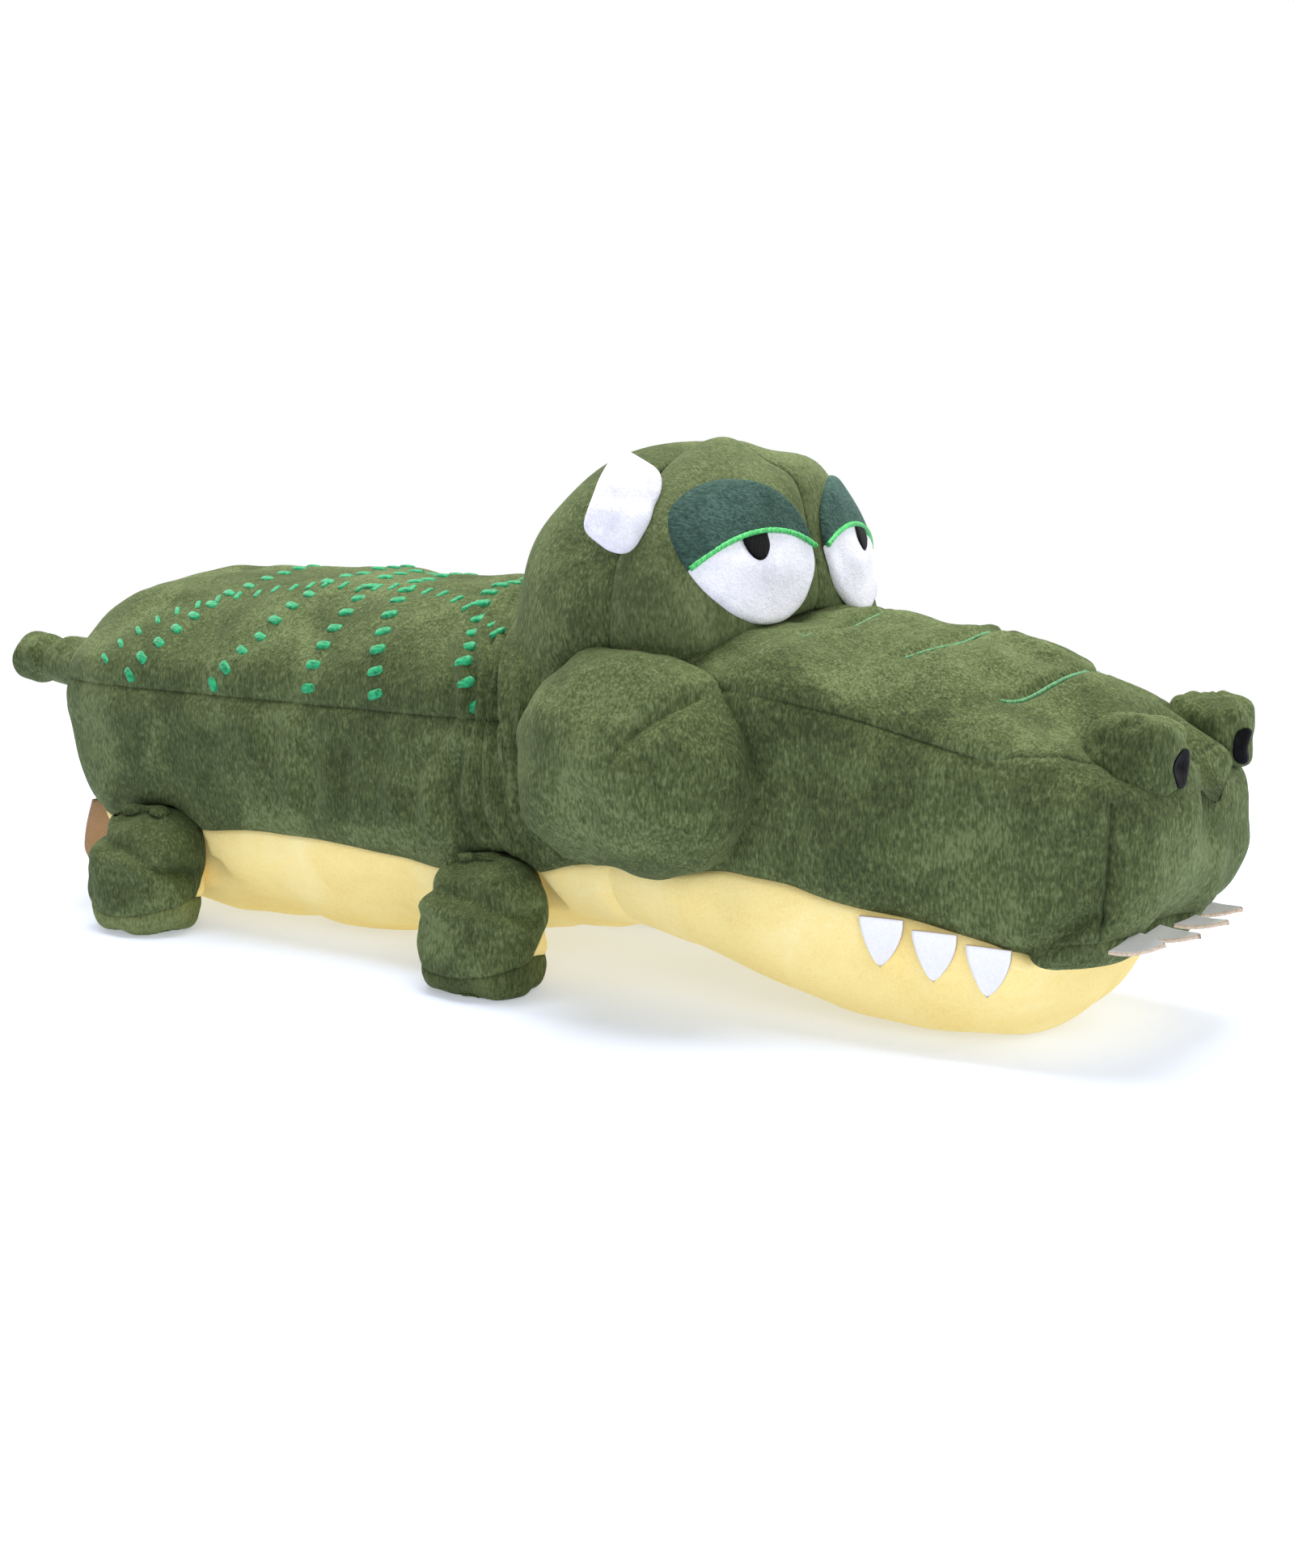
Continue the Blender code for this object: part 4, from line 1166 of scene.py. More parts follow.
@dataclass
class Tail:
    """The tail: one cover carried along a rising line, with a bulb before its rounded tip."""

    root: tuple[float, float, float] = (-0.262, 0.0, 0.116)
    tip: tuple[float, float, float] = (-0.4022, 0.0, 0.1315)
    radius: float = 0.0175
    shares: tuple[float, ...] = (0.0, 0.12, 0.25, 0.42, 0.58, 0.70, 0.76, 0.83, 0.92, 1.0)
    sizes: tuple[float, ...] = (1.45, 1.36, 1.24, 1.08, 0.97, 0.84, 0.80, 0.92, 0.90, 0.62)

    def build(self, finishes: Finishes) -> None:
        """Makes the tail's cover.

        Args:
            finishes: The toy's finishes.
        """
        tip_share = 0.1
        rounded = 1 - tip_share + tip_share * np.sin(np.linspace(0, math.pi / 2, 14))[1:]
        along = np.concatenate([np.linspace(0, 1 - tip_share, 60), rounded])
        end = np.clip((along - (1 - tip_share)) / tip_share, 0, 1)
        size = self.radius * monotone(along, self.shares, self.sizes) * bulge(end, 2.0)
        turn = full_turn(40)
        root, tip = np.array(self.root), np.array(self.tip)
        path = root + (tip - root) * along[:, None] + UP * (0.006 * np.sin(math.pi * along))[:, None]
        heading = (tip - root) / np.linalg.norm(tip - root)
        side = np.array((0.0, 1.0, 0.0))
        upward = np.cross(side, heading)
        ring = np.cos(turn)[:, None] * side + np.sin(turn)[:, None] * upward
        points = path[:, None] + size[:, None, None] * ring[None]
        dent = groove(along - 0.755, 0.0022, 0.028)[:, None] * (0.7 + 0.5 * np.sin(turn - 0.6))
        dent = dent + 0.0007 * wobble(points, 0.022, 21)
        points = points - ring[None] * dent[..., None]
        obj = grid_object("tail_cover_plush", points, closed=True, inside=path[30])
        place = Place("torso", "tail", (-0.281, 0.0, 0.118), (-0.318, 0.0, 0.12))
        piece(obj, place, finishes.green, ["tail_cover", "tail_filling"])


# ---- Head ----


@dataclass
class Head:
    """The dome of the head: a hood behind the face seam and two brow panels before it.

    The dome is a superellipsoid. Behind the face seam the hood runs out into a collar over the torso.
    """

    torso: Torso
    x: float = 0.131
    z: float = 0.168
    front: float = 0.066
    rear: float = 0.088
    half: float = 0.103
    power: float = 2.35
    face_power: float = 3.2
    seam_x: float = 0.139

    def ring(self, x: Array) -> Array:
        """The share of the dome's size that is left at a place on its axis."""
        reach = np.where(x < self.x, self.rear, self.front)
        power = np.where(x < self.x, self.power, self.face_power)
        return np.clip(1 - np.clip(np.abs(x - self.x) / reach, 0, 1) ** power, 0, None) ** (1 / self.power)

    def surface_x(self, y: Array, z: Array) -> Array:
        """How far forward the dome comes at a place of the face."""
        spent = np.abs(y / self.half) ** self.power + np.abs((z - self.z) / self.half) ** self.power
        return self.x + self.front * np.clip(1 - spent, 0, 1) ** (1 / self.face_power)

    def face_normals(self, points: Array) -> Array:
        """Unit normals of the dome's front half."""
        offset = points - np.array((self.x, 0.0, self.z))
        sizes = np.array((self.front, self.half, self.half))
        powers = np.array((self.face_power, self.power, self.power))
        normal = powers * np.sign(offset) * np.abs(offset / sizes) ** (powers - 1) / sizes
        return normal / np.linalg.norm(normal, axis=-1, keepdims=True)

    def build(self, finishes: Finishes, muzzle: "Muzzle") -> None:
        """Makes the hood and the two brow panels.

        Args:
            finishes: The toy's finishes.
            muzzle: The muzzle, which the brow panels stop at.
        """
        turn = np.radians(np.linspace(-46.5, 226.5, 190))
        hood = grid_object("hood_cover", self.hood(turn), inside=(self.x, 0, self.z))
        piece(hood, HEAD, finishes.green, ["hood", "head_filling"], COVER)
        for side in Side:
            obj = grid_object(f"brow_{side.label}_cover", self.brow(side, muzzle), inside=(self.x, 0, self.z))
            piece(obj, HEAD, finishes.brow, [f"brow_{side.label}"], COVER)

    def hood(self, turn: Array) -> Array:
        """The hood, from its rim on the torso to the face seam.

        Each column lies in one direction about the dome's axis. Its radius is the smooth maximum of the
        dome's and of a collar's, which is the torso's own radius and a little more.

        Args:
            turn: Each column's angle about the dome's axis.

        Returns:
            Rows and columns of places.
        """
        heading = placed(0.0, np.cos(turn), np.sin(turn))
        centre = np.array((0.06, 0.0, self.z))
        low = np.zeros(len(turn))
        torso = halved(lambda r: self.torso.share(centre + heading * r[:, None]) < 1, low, low + 0.3)
        rim_z = self.z + torso * np.sin(turn)
        rim_x = monotone(rim_z, RIM_Z, RIM_X)
        share = np.linspace(0, 1, 64)[:, None] ** 1.5
        x = rim_x + (self.seam_x - rim_x) * share
        step_up = 0.0080 + 0.0037 * (1 - ease((rim_z - 0.150) / 0.045))
        collar = torso - 0.004 + step_up * ease(share / 0.07) - 0.018 * ease((share - 0.15) / 0.85)
        dome = self.ring(x) * self.half * round_reach(turn, self.power)
        radius = (dome + collar + np.sqrt((dome - collar) ** 2 + 0.004**2)) / 2
        tuck = np.degrees(np.minimum(turn - turn[0], turn[-1] - turn))
        radius -= 0.0075 * (1 - ease(tuck / 9.0))
        points = placed(x, radius * np.cos(turn), self.z + radius * np.sin(turn))
        normal = grid_normals(points)
        if (normal * (points - np.array((self.x, 0, self.z)))).sum() < 0:
            normal = -normal
        pull = valley(self.seam_x - x, 0.0018, 0.0045) + 0.0010 * wobble(points, 0.07, 31)
        rim = share * (self.seam_x - rim_x) + 0.002 * wobble(points, 0.06, 33)
        pull += folds(rim, HOOD_FOLDS) * (1 - ease((rim_z - 0.12) / 0.06))
        pull += nestle(cheek_share(points), 0.055, 0.0060, 0.0055)
        return points - normal * pull[..., None]

    def brow(self, side: Side, muzzle: "Muzzle") -> Array:
        """One brow panel, from the face seam to where the dome goes under the muzzle's top.

        Args:
            side: Which panel.
            muzzle: The muzzle that ends it.

        Returns:
            Rows and columns of places.
        """
        turn = np.radians(np.linspace(90, 90 + side.value * -118, 84))
        first = math.asin(((self.seam_x - self.x) / self.front) ** (self.face_power / 2))

        def dome(angle: Array) -> Array:
            x = self.x + self.front * np.sin(angle) ** (2 / self.face_power)
            radius = self.half * np.cos(angle) ** (2 / self.power) * round_reach(turn, self.power)
            return placed(x, radius * np.cos(turn), self.z + radius * np.sin(turn))

        low = np.full(len(turn), first)
        end = halved(lambda a: muzzle.share(dome(a)) > 0.965, low, low * 0 + math.radians(88))
        share = np.linspace(0, 1, 60)[:, None]
        points = dome(first + (end - first) * share)
        normal = self.face_normals(points)
        pull = valley(points[..., 0] - self.seam_x, 0.0018, 0.0045)
        pull += valley(points[..., 1], 0.0022, 0.0045) + 0.0010 * wobble(points, 0.05, 32)
        pull += nestle(muzzle.share(points), 0.08, 0.0030, 0.005)
        pull += nestle(cheek_share(points), 0.055, 0.0030, 0.005)
        return points - normal * pull[..., None]


@dataclass
class Eye:
    """A white patch, a lid over it with a sewn line, and a pupil, all on the dome's front."""

    head: Head
    side: Side
    y: float = 0.046
    z: float = 0.2195
    half_width: float = 0.040
    half_height: float = 0.034
    arc_y: float = 0.0395
    arc_z: float = 0.1596
    arc_radius: float = 0.0693
    pupil_y: float = 0.050
    pupil_z: float = 0.2255
    pupil_radius: float = 0.008
    white_lift: float = 0.0030
    lid_lift: float = 0.0037
    pupil_lift: float = 0.0027

    def lid_line(self, y: Array) -> Array:
        """Height of the lid's lower edge: the upper half of a circle, seen from ahead."""
        return self.arc_z + np.sqrt(np.clip(self.arc_radius**2 - (y - self.arc_y) ** 2, 1e-8, None))

    def on_face(self, y: Array, z: Array, lift: Array | float) -> Array:
        """Places on the dome at a place of the face, lifted off it.

        Args:
            y: Distance from the toy's middle.
            z: Height.
            lift: How far off the dome.

        Returns:
            The places, on this eye's own side.
        """
        points = placed(self.head.surface_x(y, z), y, z)
        points = points + self.head.face_normals(points) * np.asarray(lift)[..., None]
        points[..., 1] *= self.side.value
        return points

    def patch(self, low: Array, high: Array, y: Array, thick: float) -> Array:
        """A padded patch between two heights in each column, which swells in from its edges.

        Args:
            low: Each column's lower edge.
            high: Each column's upper edge.
            y: Each column's place.
            thick: How far it swells.

        Returns:
            Rows and columns of places.
        """
        share = (1 - np.cos(np.linspace(0, math.pi, 34))) / 2
        z = low + (high - low) * share[:, None]
        wide = np.repeat(y[None], len(share), axis=0)
        radius = np.hypot((wide - self.y) / self.half_width, (z - self.z) / self.half_height)
        edge = np.minimum(1 - radius, 1.0) * self.half_width
        lift = thick * bulge(1 - np.clip(edge / 0.004, 0, 1), 2.0) - 0.0006
        lift = lift + 0.0003 * wobble(placed(wide, z, 0.0), 0.02, 41)
        return self.on_face(wide, z, lift)

    def build(self, finishes: Finishes) -> None:
        """Makes the eye's four pieces.

        Args:
            finishes: The toy's finishes.
        """
        name = self.side.label
        angle = np.linspace(0, math.pi, 56)
        y = self.y - self.half_width * np.cos(angle) * 0.9995
        tall = self.half_height * np.sin(angle)
        low, high = self.z - tall, self.z + tall
        line = np.clip(self.lid_line(y), low, high)
        inside = (self.head.x, self.side.value * self.y, self.z)
        under, over = self.patch(low, line, y, self.white_lift), self.patch(line, high, y, self.lid_lift)
        white = grid_object(f"eye_white_{name}_patch", under, inside=inside)
        lid = grid_object(f"eyelid_{name}_patch", over, inside=inside)
        piece(white, HEAD, finishes.white, [f"eye_white_{name}"], PATCH)
        piece(lid, HEAD, finishes.lid, [f"eyelid_{name}"], PATCH)
        open_y = y[(line > low + 0.0004) & (line < high - 0.0004)]
        open_y = np.linspace(open_y[0], open_y[-1], 70)
        path = self.on_face(open_y, self.lid_line(open_y), self.white_lift)
        radius = 0.0013 + 0.00012 * np.sin(np.arange(len(path)) * 2.2)
        thread = tube_object(f"lid_line_{name}", path, radius, 10)
        piece(thread, HEAD, finishes.lid_thread)
        self.pupil(finishes)

    def pupil(self, finishes: Finishes) -> None:
        """Makes the pupil, a raised disc that the lid's line cuts off."""
        angle = np.linspace(0, math.pi, 26)
        y = self.pupil_y - self.pupil_radius * np.cos(angle)
        tall = 1.25 * self.pupil_radius * np.sin(angle)
        low = self.pupil_z - tall
        high = np.maximum(np.minimum(self.pupil_z + tall, self.lid_line(y) - 0.0005), low)
        share = np.linspace(0, 1, 14)[:, None]
        z = low + (high - low) * share
        wide = np.repeat(y[None], len(share), axis=0)
        rim = np.minimum(share * (1 - share) * 4, (1 - np.abs(np.cos(angle)))[None] * 3)
        lift = self.pupil_lift + 0.0010 * np.sqrt(np.clip(rim, 0, 1))
        name = f"pupil_{self.side.label}"
        inside = (self.head.x, self.side.value * self.y, self.z)
        obj = grid_object(f"{name}_patch", self.on_face(wide, z, lift), inside=inside)
        piece(obj, HEAD, finishes.black, [name], SATIN)


@dataclass
class Ear:
    """A white pad on its edge beside the face seam, a rounded oblong that leans back.

    The left one stands more upright and a little off its mirrored place, as the photograph shows it.
    """

    side: Side
    base: tuple[float, float, float] = (0.146, 0.08484, 0.23848)
    length: float = 0.050
    projection: float = 0.030
    thickness: float = 0.011
    lean: float = math.radians(34)
    slope: tuple[float, float] = (0.6167, 0.7872)
    left_shift: tuple[float, float, float] = (-0.004, -0.006, 0.001)
    left_lean: float = math.radians(8)

    def build(self, finishes: Finishes) -> None:
        """Makes the ear's pad: a superellipsoid on three directions, thinner at its sewn outline."""
        sign = self.side.value
        is_left = self.side is Side.LEFT
        shift = np.array(self.left_shift) if is_left else np.zeros(3)
        lean = self.left_lean if is_left else self.lean
        down = np.array((0.0, sign * self.slope[0], -self.slope[1]))
        upright = np.array((0.0, sign * self.slope[1], self.slope[0]))
        outward = upright * math.cos(lean) - np.array((math.sin(lean), 0.0, 0.0))
        through = np.cross(outward, down)
        tilt = np.linspace(-math.pi / 2, math.pi / 2, 34)[:, None]
        turn = full_turn(72)
        flat = round_reach(turn, 3.6)
        swell = np.sign(tilt) * np.abs(np.sin(tilt)) ** 0.9
        out = self.projection / 2 * (flat * np.cos(turn)) * np.cos(tilt) ** 0.75
        along = self.length / 2 * (flat * np.sin(turn)) * np.cos(tilt) ** 0.75
        middle = self.projection / 2 - self.thickness / 2
        points = (
            np.array((self.base[0], sign * self.base[1], self.base[2]))
            + shift
            + (out + middle)[..., None] * outward
            + along[..., None] * down
            + (self.thickness / 2 * swell + 0 * turn)[..., None] * through
        )
        points = points + 0.0006 * wobble(points, 0.016, 51)[..., None] * through
        name = f"ear_{self.side.label}"
        obj = grid_object(f"{name}_pad", points, closed=True)
        piece(obj, Place(name), finishes.white, [name])


CHEEK_CENTRE = (0.153, 0.098, 0.1235)
CHEEK_HALF = (0.0625, 0.0435, 0.0525)
CHEEK_POWER = 2.2


def cheek_reach(ray: Array) -> Array:
    """How far the cheek reaches in some directions: a superellipsoid, fuller low at the front.

    Args:
        ray: Directions in shares of the cheek's three sizes.

    Returns:
        The reach, in shares of those sizes.
    """
    reach = (np.abs(ray) ** CHEEK_POWER).sum(axis=-1) ** (-1 / CHEEK_POWER)
    turn = np.degrees(np.arctan2(ray[..., 2], ray[..., 0]))
    fuller = groove(turn + 46, 0.075, 30) - groove(turn - 42, 0.055, 30)
    return reach * (1 + fuller * ease(np.hypot(ray[..., 0], ray[..., 2]) / 0.7))


def cheek_share(points: Array) -> Array:
    """1 on the cheek's surface, and less inside it, on either side of the toy."""
    offset = placed(points[..., 0], np.abs(points[..., 1]), points[..., 2])
    offset = (offset - np.array(CHEEK_CENTRE)) / np.array(CHEEK_HALF)
    length = np.maximum(np.linalg.norm(offset, axis=-1), 1e-6)
    return length / cheek_reach(offset / length[..., None])


@dataclass
class Cheek:
    """A stuffed ball on the side of the head, pressed flat where it lies on the muzzle."""

    side: Side
    muzzle: "Muzzle"
    dart_x: tuple[float, ...] = (0.164, 0.173, 0.183, 0.190, 0.197)
    dart_z: tuple[float, ...] = (0.126, 0.138, 0.149, 0.154, 0.159)
    lap: float = 0.007
    least_y: float = 0.080

    def build(self, finishes: Finishes) -> None:
        """Makes the cheek: its form with its seams pulled in, and its inner side laid on the muzzle."""
        tilt = np.linspace(-math.pi / 2, math.pi / 2, 96)[:, None]
        turn = full_turn(180)
        ray = placed(np.cos(tilt) * np.cos(turn), np.sin(tilt), np.cos(tilt) * np.sin(turn))
        centre, half = np.array(CHEEK_CENTRE), np.array(CHEEK_HALF)
        points = centre + ray * cheek_reach(ray)[..., None] * half
        pull = self.seams(points) + 0.0013 * wobble(points, 0.05, 61) + 0.0005 * wobble(points, 0.02, 62)
        points = points - ray * pull[..., None]
        wall = self.muzzle.side_at(points[..., 0], points[..., 2]) - self.lap
        covered = (points[..., 2] < self.muzzle.seam(points[..., 0]) + 0.01) & (points[..., 1] < wall)
        points[..., 1] = np.where(covered, wall, points[..., 1])
        points[..., 1] = np.maximum(points[..., 1], self.least_y)
        points[..., 1] *= self.side.value
        name = f"cheek_{self.side.label}"
        inside = (centre[0], self.side.value * (centre[1] + 0.01), centre[2])
        obj = grid_object(f"{name}_ball", points, closed=True, inside=inside)
        piece(obj, HEAD, finishes.green, [name])

    def seams(self, points: Array) -> Array:
        """The dart from the muzzle's seam down and back over the ball, and its short front seam.

        Args:
            points: Places on the ball.

        Returns:
            How far each place is pulled in.
        """
        outer = ease((points[..., 1] - CHEEK_CENTRE[1]) / 0.012)
        x, z = points[..., 0], points[..., 2]
        line = np.interp(x, self.dart_x, self.dart_z)
        past = np.maximum(self.dart_x[0] - x, 0)
        away = np.hypot((z - line) * 0.72, past)
        fade = ease((x - self.dart_x[0] + 0.003) / 0.018)
        swell = groove(away - 0.008, 0.0012, 0.006)
        dart = (valley(away, 0.0046, 0.0034) - swell) * outer * fade
        short = np.hypot(z - 0.1165, np.maximum(0.203 - x, 0))
        return dart + valley(short, 0.0022, 0.003) * outer


# ---- Muzzle and jaw ----


TUCK_XS = (0.218, 0.272, 0.321)


def tuck_x(at: float, y: Array) -> Array:
    """Where a tuck of the snout's top lies: a line bowed forwards in its middle."""
    return at - 0.002 + 0.016 * (1 - (y / 0.052) ** 2)


@dataclass
class Muzzle(Form):
    """The muzzle and the jaw: a top, two sides, a front, a lip and the yellow jaw round one form.

    The cross-section is an upper ellipse and a lower, boxy superellipse that meet at the side seams. At the
    front the width, the height over the seam and the depth under it shrink as rounded ends do.
    """

    places: tuple[float, ...] = (0.106, 0.1965, 0.252, 0.2812, 0.3381, 0.398)
    wide_xs: tuple[float, ...] = (0.106, 0.124, 0.135, 0.150, 0.1965, 0.252, 0.2812, 0.3381, 0.398)
    widths: tuple[float, ...] = (0.092, 0.0955, 0.0978, 0.0990, 0.0998, 0.094, 0.090, 0.084, 0.082)
    seams: tuple[float, ...] = (0.160, 0.160, 0.1528, 0.146, 0.133, 0.1230)
    tops: tuple[float, ...] = (0.191, 0.191, 0.1891, 0.1853, 0.1681, 0.1509)
    mouth_xs: tuple[float, ...] = (0.106, 0.14, 0.17, 0.205, 0.23, 0.252, 0.2812, 0.3381, 0.352, 0.366)
    mouth_zs: tuple[float, ...] = (0.0645, 0.0695, 0.069, 0.073, 0.072, 0.067, 0.0619, 0.0529, 0.0475, 0.0445)
    chin_zs: tuple[float, ...] = (0.0, 0.02, 0.035, 0.043, 0.0462, 0.0575, 0.07, 0.09)
    chin_xs: tuple[float, ...] = (0.352, 0.3605, 0.3625, 0.3645, 0.380, 0.3865, 0.393, 0.398)
    plan_zs: tuple[float, ...] = (0.0, 0.02, 0.043, 0.0462, 0.060, 0.085)
    plan_starts: tuple[float, ...] = (0.298, 0.298, 0.304, 0.326, 0.336, 0.338)
    plan_powers: tuple[float, ...] = (2.4, 2.4, 2.5, 3.3, 3.7, 3.8)
    front_seam_x: float = 0.370
    lip_x: float = 0.347
    lip_z: float = 0.0575

    def seam(self, x: Array) -> Array:
        """Height of the side seam."""
        return monotone(x, self.places, self.seams)

    def mouth(self, x: Array) -> Array:
        """Height of the mouth's line."""
        return monotone(x, self.mouth_xs, self.mouth_zs)

    def end_share(self, x: Array, z: Array) -> Array:
        """How far a place is into the rounded front, which the chin and the lip shorten."""
        start = monotone(z, self.plan_zs, self.plan_starts)
        return np.maximum((x - start) / (monotone(z, self.chin_zs, self.chin_xs) - start), 0)

    def share(self, points: Array) -> Array:
        """Powers of the width's and height's shares that add up to 1 on the surface."""
        x, y, z = points[..., 0], points[..., 1], points[..., 2]
        end = self.end_share(x, z)
        seam = self.seam(x)
        flat = 1 - np.clip(end, 0, 1) ** 4.5
        wide = monotone(x, self.wide_xs, self.widths)
        top_power = monotone(x, (0.16, 0.30, 0.36), (1.55, 1.5, 1.42))
        up = np.maximum((monotone(x, self.places, self.tops) - seam) * bulge(end, 2.5), 1e-4)
        narrow = np.maximum(wide * flat ** (1 / 3.8), 1e-4)
        over = np.abs(y / narrow) ** top_power + np.clip((z - seam) / up, 0, None) ** top_power
        over = over ** (1 / top_power)
        throat = 0.0014 * (1 - ease((x - 0.124) / 0.012))
        deep = np.clip(seam - z, 0, None) / (seam + 0.0005 - underside(x) - throat)
        power = monotone(z, self.plan_zs, self.plan_powers)
        plan = (np.abs(y / wide) ** power + end ** (1.15 * power)) ** (1 / power)
        under = (plan**3.8 + deep**3.8) ** (1 / 3.8)
        total = np.where(z >= seam, over, under)
        return np.where(end < 1, total, np.maximum(total, 1.001))

    def side_at(self, x: Array, z: Array) -> Array:
        """Half width of the muzzle at a place under its seam."""
        deep = np.clip((self.seam(x) - z) / (self.seam(x) + 0.0005 - underside(x)), 0, 1)
        power = monotone(z, self.plan_zs, self.plan_powers)
        plan = (1 - deep**3.8) ** (1 / 3.8)
        left = np.clip(plan**power - np.clip(self.end_share(x, z), 0, 1) ** (1.15 * power), 0, 1)
        return monotone(x, self.wide_xs, self.widths) * left ** (1 / power)

    def columns(self) -> tuple[Array, Array]:
        """Origins and headings from the right rear round the front to the left rear."""
        fan_x = 0.318
        straight = np.linspace(0.124, fan_x, 66, endpoint=False)
        fan = np.radians(np.linspace(-90, 90, 101))
        places, headings = outline(straight, fan_x, fan)
        return placed(places, 0.0, self.seam(places)), headings

    def build(self, finishes: Finishes) -> None:
        """Makes the muzzle's covers.

        Args:
            finishes: The toy's finishes.
        """
        origins, headings = self.columns()
        rim = self.reach(origins, headings, np.zeros((1, len(origins))))[0]
        count = len(origins)
        mouth = self.mouth(rim[:, 0])
        lip = mouth + (self.lip_z - mouth) * ease((rim[:, 0] - self.lip_x) / 0.014)
        to_lip = self.tilt_at(origins, headings, lip)
        to_mouth = np.maximum(self.tilt_at(origins, headings, mouth), to_lip)
        tilts, marks = tilt_bands([to_lip, to_mouth], (44, 40, 14, 44))
        plain = self.reach(origins, headings, tilts)
        is_front = rim[:, 0] > self.front_seam_x
        first, last = int(np.argmax(is_front)), count - 1 - int(np.argmax(is_front[::-1]))
        points = self.sew(plain, marks, (first, last))
        in_lip = rim[:, 0] > self.lip_x
        lip_first, lip_last = int(np.argmax(in_lip)), count - 1 - int(np.argmax(in_lip[::-1]))
        green = (finishes.green, "green_plush")
        spans = {
            "snout_top": (0, marks[0], 0, count, *green),
            "snout_side_right": (marks[0], marks[1], 0, first + 1, *green),
            "snout_front": (marks[0], marks[1], first, last + 1, *green),
            "snout_side_left": (marks[0], marks[1], last, count, *green),
            "lower_lip": (marks[1], marks[2], lip_first - 1, lip_last + 2, *green),
            "jaw": (marks[2], marks[3], 0, count, finishes.yellow, "yellow_plush"),
        }
        cut_panels(points, spans, (0.28, 0.0, 0.1), HEAD, "snout_filling")

    def sew(self, points: Array, marks: Array, fronts: tuple[int, int]) -> Array:
        """Pulls the seams and the tucks in, folds the corners of the lip, and presses the jaw on the floor.

        Args:
            points: Rows and columns of places on the plain form.
            marks: The last row of each band.
            fronts: The columns of the front panel's two seams.

        Returns:
            The sewn places.
        """
        walk = perimeter(points[marks[0]])[None]
        corners = points[:, list(fronts), :2]
        corner = np.linalg.norm(points[:, :, None, :2] - corners[:, None], axis=-1).min(axis=-1)
        moved = points - self.normals(points) * self.pull(points, walk, corner)[..., None]
        moved = self.lip_corner(moved)
        moved[..., 2] = np.maximum(moved[..., 2], FLOOR_CONTACT)
        return moved

    def pull(self, points: Array, walk: Array, corner: Array) -> Array:
        """How far the sewing pulls the cover in: seams, puckers, tucks and the creases beside other parts.

        Args:
            points: Places on the plain form.
            walk: Distances along the side seam, which the puckers follow.
            corner: Distances from the front panel's two seams.

        Returns:
            The pull at each place.
        """
        x, y, z = points[..., 0], points[..., 1], points[..., 2]
        seam = z - self.seam(x)
        in_middle = (1 - ease((np.abs(y) - 0.014) / 0.016)) * ease((x - 0.365) / 0.015)
        pull = (valley(seam, 0.0032, 0.0040) - groove(np.abs(seam) - 0.013, 0.0012, 0.008)) * (1 - in_middle)
        wave = np.sin(2 * math.pi * walk / 0.015 + 2.0 * wobble(points, 0.06, 71))
        pull += 0.0007 * wave * np.exp(-np.abs(np.abs(seam) - 0.006) / 0.011)
        below = ease(-seam / 0.004)
        pull += valley(corner, 0.0042, 0.0036) * below * ease((z - self.lip_z) / 0.01)
        mouth = z - self.mouth(x)
        pull += valley(mouth, 0.0030, 0.004) * below * (1 - ease((x - 0.335) / 0.02))
        lip = ease((x - self.lip_x - 0.004) / 0.01) * below
        pull += valley(z - self.lip_z, 0.0030, 0.0040) * lip
        for at in TUCK_XS:
            span = 1 - ease((np.abs(y) - 0.050) / 0.012)
            away = x - tuck_x(at, y)
            pull += folds(away, TUCK_FOLDS) * span * ease(seam / 0.01)
        depth = 0.0040 * ease((z - 0.075) / 0.03) + 0.0065 * ease((z - 0.095) / 0.045)
        middle = groove(y, 1.0, 0.015) * depth * ease((x - 0.362) / 0.02)
        pull += middle + nestle(cheek_share(points), 0.055, 0.0035, 0.0045)
        bump = placed(x, np.abs(y), z) - np.array(Nostril.centre)
        pull += valley(np.maximum(np.linalg.norm(bump, axis=-1) - 0.0195, 0), 0.0050, 0.0050)
        calm = np.maximum(ease((x - 0.135) / 0.02), ease((z - 0.08) / 0.02))
        calm = calm * (0.35 + 0.65 * ease((z - 0.045) / 0.02))
        pull += calm * (0.0014 * wobble(points, 0.075, 72) + 0.0007 * wobble(points, (0.03, 0.03, 0.09), 73))
        return pull

    def lip_corner(self, points: Array) -> Array:
        """Folds the corner where the side, the front and the lip meet.

        A furrow runs from the front seam down and back to the mouth's line, and the lip's corner swells.

        Args:
            points: Sewn places.

        Returns:
            The folded places.
        """
        start, end = np.array((0.372, 0.072)), np.array((0.344, 0.052))
        flat = points[..., [0, 2]]
        along = end - start
        share = np.clip(((flat - start) @ along) / (along @ along), 0, 1)
        away = np.linalg.norm(flat - start - share[..., None] * along, axis=-1)
        side = ease((np.abs(points[..., 1]) - 0.045) / 0.02)
        pull = folds(away, CORNER_FOLDS) * side
        swell = groove(np.linalg.norm(flat - np.array((0.360, 0.055)), axis=-1), 0.0030, 0.009) * side
        outward = placed(0.0, np.sign(points[..., 1]), 0.0)
        return points + outward * (swell - pull)[..., None]


